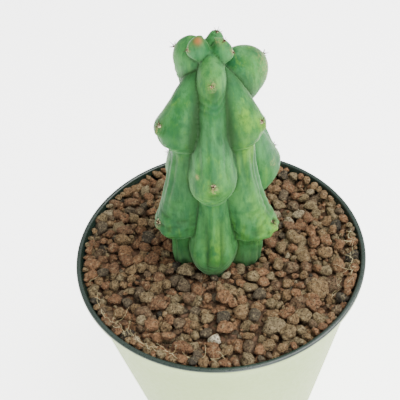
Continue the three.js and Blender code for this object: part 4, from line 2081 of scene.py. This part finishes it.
@dataclass
class Pot:
    """The round nursery pot, mint outside and dark green on its lip and inside."""

    mint: PlasticFinish = PlasticFinish(
        "mint_plastic", (0.265, 0.35, 0.115), (0.33, 0.41, 0.17), 0.45
    )
    dark: PlasticFinish = PlasticFinish(
        "dark_green_plastic", (0.007, 0.018, 0.012), (0.026, 0.044, 0.035), 0.27, 0.6
    )
    height: float = 85.0
    rim: float = 52.5
    lip: float = 2.0
    overhang: float = 0.9
    lip_thickness: float = 1.7
    lip_rounding: float = 0.6
    lip_edge: float = 0.35
    edge_arc: Pair = (-80.0, 0.0)
    lip_rise: float = 0.6
    lip_flat: float = 0.05
    flare_height: float = 8.0
    flare: float = 0.9
    foot: float = 39.0
    foot_rounding: float = 1.0
    heel_arc: Pair = (-88.0, -8.0)
    ring_width: float = 4.5
    recess: float = 1.0
    wall: float = 1.2
    wall_start: float = 3.0
    wall_rings: int = 24
    floor: float = 1.4
    gap: float = 0.3
    sides: int = 200
    arc_points: int = 6
    drain: float = 4.0
    drain_circle: float = 24.0
    drains: int = 6
    drain_turn: float = 15.0
    drain_sides: int = 40
    drain_cut: float = 8.0
    sharp: float = 38.0

    def wall_radius(self, height: float) -> float:
        """Work out the wall's outer radius, which flares a little towards the lip.

        Args:
            height: The height.

        Returns:
            The radius.
        """
        start = self.height - self.lip - self.flare_height
        slope = (self.rim - self.overhang - self.flare - self.foot) / (self.height - self.lip)
        up = max(0.0, (height - start) / self.flare_height)
        return self.foot + slope * height + self.flare * up * up

    def fill_radius(self, height: float) -> float:
        """Return the radius that the filling may have at a height."""
        return self.wall_radius(height) - self.wall - self.gap

    def rounded(self, centre: Pair, radius: float, start: float, end: float) -> list[Pair]:
        """Draw an arc.

        Args:
            centre: Its (radius, height) centre.
            radius: Its radius.
            start: The angle that it starts at, in degrees.
            end: The angle that it ends at.

        Returns:
            Its points.
        """
        angles = np.radians(np.linspace(start, end, self.arc_points))
        x, y = centre
        return [(x + radius * math.cos(angle), y + radius * math.sin(angle)) for angle in angles]

    def profile(self) -> tuple[list[Pair], int]:
        """Draw the closed outline from the middle of the foot round to the inside floor.

        Returns:
            The (radius, height) points, and how many of them belong to the mint outside.
        """
        lip_bottom = self.height - self.lip
        inner = self.rim - self.lip_thickness
        ring = self.foot - self.ring_width
        floor_top = self.recess + self.floor
        heel, bend, edge = self.foot_rounding, self.lip_rounding, self.lip_edge
        outside = [(0.0, self.recess), (ring - self.recess, self.recess), (ring, 0.0)]
        outside += self.rounded((self.foot - heel, heel), heel, *self.heel_arc)
        rise = np.linspace(self.wall_start, lip_bottom, self.wall_rings)
        outside += [(self.wall_radius(h), h) for h in rise]
        outside += self.rounded((self.rim - edge, lip_bottom + self.lip_rise), edge, *self.edge_arc)
        outside.append((self.rim, self.height - bend - self.lip_flat))
        lip = self.rounded((self.rim - bend, self.height - bend), bend, 0, 90)
        lip += self.rounded((inner + bend, self.height - bend), bend, 90, 180)
        inside = [(self.wall_radius(h) - self.wall, h) for h in rise[::-1]]
        inside += [(self.wall_radius(floor_top) - self.wall, floor_top), (0.0, floor_top)]
        return outside + lip + inside, len(outside)

    def build(self) -> Piece:
        """Turn the profile, cut the drain holes and mark the two tones.

        Returns:
            The pot.
        """
        profile, mint_count = self.profile()
        radii, heights = np.array(profile[1:-1]).T
        turn = even_turns(self.sides)
        level = np.repeat(heights[:, None], self.sides, axis=1)
        x, y = np.outer(radii, np.cos(turn)), np.outer(radii, np.sin(turn))
        points = np.stack([x, y, level], axis=2)
        middles = [[0, 0, profile[0][1]], [0, 0, profile[-1][1]]]
        points = np.concatenate([points.reshape(-1, 3), middles])
        faces = ring_faces(len(radii), self.sides)
        bottom, top = len(points) - 2, len(points) - 1
        last = (len(radii) - 1) * self.sides
        for i in range(self.sides):
            j = (i + 1) % self.sides
            faces += [[bottom, j, i], [top, last + i, last + j]]
        pot = mesh_object("pot_shell", points, faces)
        mint_faces = (mint_count - 2) * self.sides
        tone = [int(k >= mint_faces) for k in range(last)] + [0, 1] * self.sides
        for finish in (self.mint, self.dark):
            pot.data.materials.append(finish.make())
        pot.data.polygons.foreach_set("material_index", tone)
        self.cut_drains(pot)
        sharpen_edges(pot, self.sharp)
        return pot

    def cut_drains(self, pot: Piece) -> None:
        """Cut the drain holes through the pot's floor, one in its middle and the others round it.

        Args:
            pot: The pot.
        """
        body = bmesh.new()
        angles = even_turns(self.drains) + math.radians(self.drain_turn)
        reach = self.drain_circle
        circle = [(reach * math.cos(angle), reach * math.sin(angle)) for angle in angles]
        for x, y in [(0.0, 0.0), *circle]:
            bmesh.ops.create_cone(
                body, cap_ends=True, segments=self.drain_sides, radius1=self.drain * MM,
                radius2=self.drain * MM, depth=self.drain_cut * MM,
                matrix=Matrix.Translation((x * MM, y * MM, 0)),
            )
        cutter = body_object("drain_cutters", body)
        cut = pot.modifiers.new("drains", "BOOLEAN")
        cut.operation = "DIFFERENCE"
        cut.solver = "EXACT"
        cut.object = cutter
        apply_modifiers(pot)
        bpy.data.objects.remove(cutter)

    def dress(self) -> Piece:
        """Build the pot and let it stand for the CAD pot.

        Returns:
            The pot.
        """
        pot = self.build()
        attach(pot, "root")
        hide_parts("pot")
        return pot


# The studio


@dataclass
class Studio:
    """Pale floor, soft lights, and the camera at the photograph's angle.

    The camera's angles are in degrees and its distance is from the middle of the rim. A light has
    its name, place, side length and power in watts.
    """

    floor_size: float = 3000.0
    rim_height: float = 85.0
    view_angle: float = 36.0
    sensor: float = 36.0
    clipping: Pair = (0.005, 20.0)
    distance: float = 226.3
    elevation: float = 48.07
    yaw: float = -1.45
    pitch: float = 4.16
    roll: float = 4.16
    surroundings: Colour = (1.0, 1.0, 0.99)
    target: Triple = (0.0, 0.0, 100.0)
    lights: tuple[tuple[str, Triple, float, float], ...] = (
        ("key", (280.0, -30.0, 620.0), 520.0, 7.2),
        ("fill", (120.0, -550.0, 200.0), 300.0, 2.2),
    )

    def set_floor(self) -> None:
        """Lay the floor, which isn't part of the object."""
        size = self.floor_size
        corners = np.array([[-size, -size, 0], [size, -size, 0], [size, size, 0], [-size, size, 0]])
        floor = mesh_object("studio_floor", corners, [[0, 1, 2, 3]], smooth=False)
        floor.data.materials.append(FloorFinish().make())

    def set_camera(self) -> None:
        """Place the camera as it stood when the photograph was taken."""
        rise = math.radians(self.elevation)
        place = Vector((0, -self.distance * math.cos(rise), self.distance * math.sin(rise)))
        ahead = -place.normalized()
        right = Vector((1, 0, 0))
        up = right.cross(ahead)
        yaw, pitch, roll = (math.radians(angle) for angle in (self.yaw, self.pitch, self.roll))
        aside = math.cos(yaw) * right - math.sin(yaw) * ahead
        onward = math.sin(yaw) * right + math.cos(yaw) * ahead
        upward = math.cos(pitch) * up - math.sin(pitch) * onward
        forward = math.sin(pitch) * up + math.cos(pitch) * onward
        x_axis = math.cos(roll) * aside - math.sin(roll) * upward
        y_axis = math.sin(roll) * aside + math.cos(roll) * upward
        data = bpy.data.cameras.new("photo_camera")
        data.sensor_width = self.sensor
        data.sensor_fit = "HORIZONTAL"
        data.lens = self.sensor / 2 / math.tan(math.radians(self.view_angle / 2))
        data.clip_start, data.clip_end = self.clipping
        camera = add_object("photo_camera", data)
        turn = Matrix((x_axis, y_axis, -forward)).transposed().to_4x4()
        stand = place + Vector((0, 0, self.rim_height))
        camera.matrix_world = Matrix.Translation(stand * MM) @ turn
        bpy.context.scene.camera = camera

    def add_light(self, name: str, place: Triple, size: float, power: float) -> None:
        """Add a square soft light that looks at the stem.

        Args:
            name: Name of the light.
            place: Where it hangs, in millimetres.
            size: Length of its side in millimetres.
            power: Its power in watts.
        """
        data = bpy.data.lights.new(name, "AREA")
        data.shape = "SQUARE"
        data.size = size * MM
        data.energy = power
        light = add_object(name, data)
        spot = Vector(place)
        turn = (Vector(self.target) - spot).to_track_quat("-Z", "Y").to_matrix().to_4x4()
        light.matrix_world = Matrix.Translation(spot * MM) @ turn

    def set_up(self) -> None:
        """Build the whole studio: the floor, the camera, the pale surroundings and the lights."""
        self.set_floor()
        self.set_camera()
        world = bpy.data.worlds.new("soft_white")
        world.use_nodes = True
        background = world.node_tree.nodes["Background"]
        background.inputs["Color"].default_value = (*self.surroundings, 1.0)
        background.inputs["Strength"].default_value = 1.0
        bpy.context.scene.world = world
        for light in self.lights:
            self.add_light(*light)


def dress_potting_mix() -> None:
    """Give the CAD potting mix, which shows only through the drain holes, its crumbly finish."""
    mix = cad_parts["potting_mix"]
    mix.data.materials.clear()
    mix.data.materials.append(SoilFinish().make("potting_mix_crumb"))


def main() -> None:
    """Build the pieces in order and report each one."""
    Studio().set_up()
    pot = Pot()
    cactus = Cactus()
    pieces = [pot.dress(), *cactus.dress()]
    pieces += LavaGrit(cactus.form, pot.fill_radius).dress()
    pieces.append(DryFibres().dress())
    dress_potting_mix()
    for piece in pieces:
        triangles = sum(len(face.vertices) - 2 for face in piece.data.polygons)
        log.info("%s: %d triangles", piece.name, triangles)


if __name__ == "__main__":
    main()
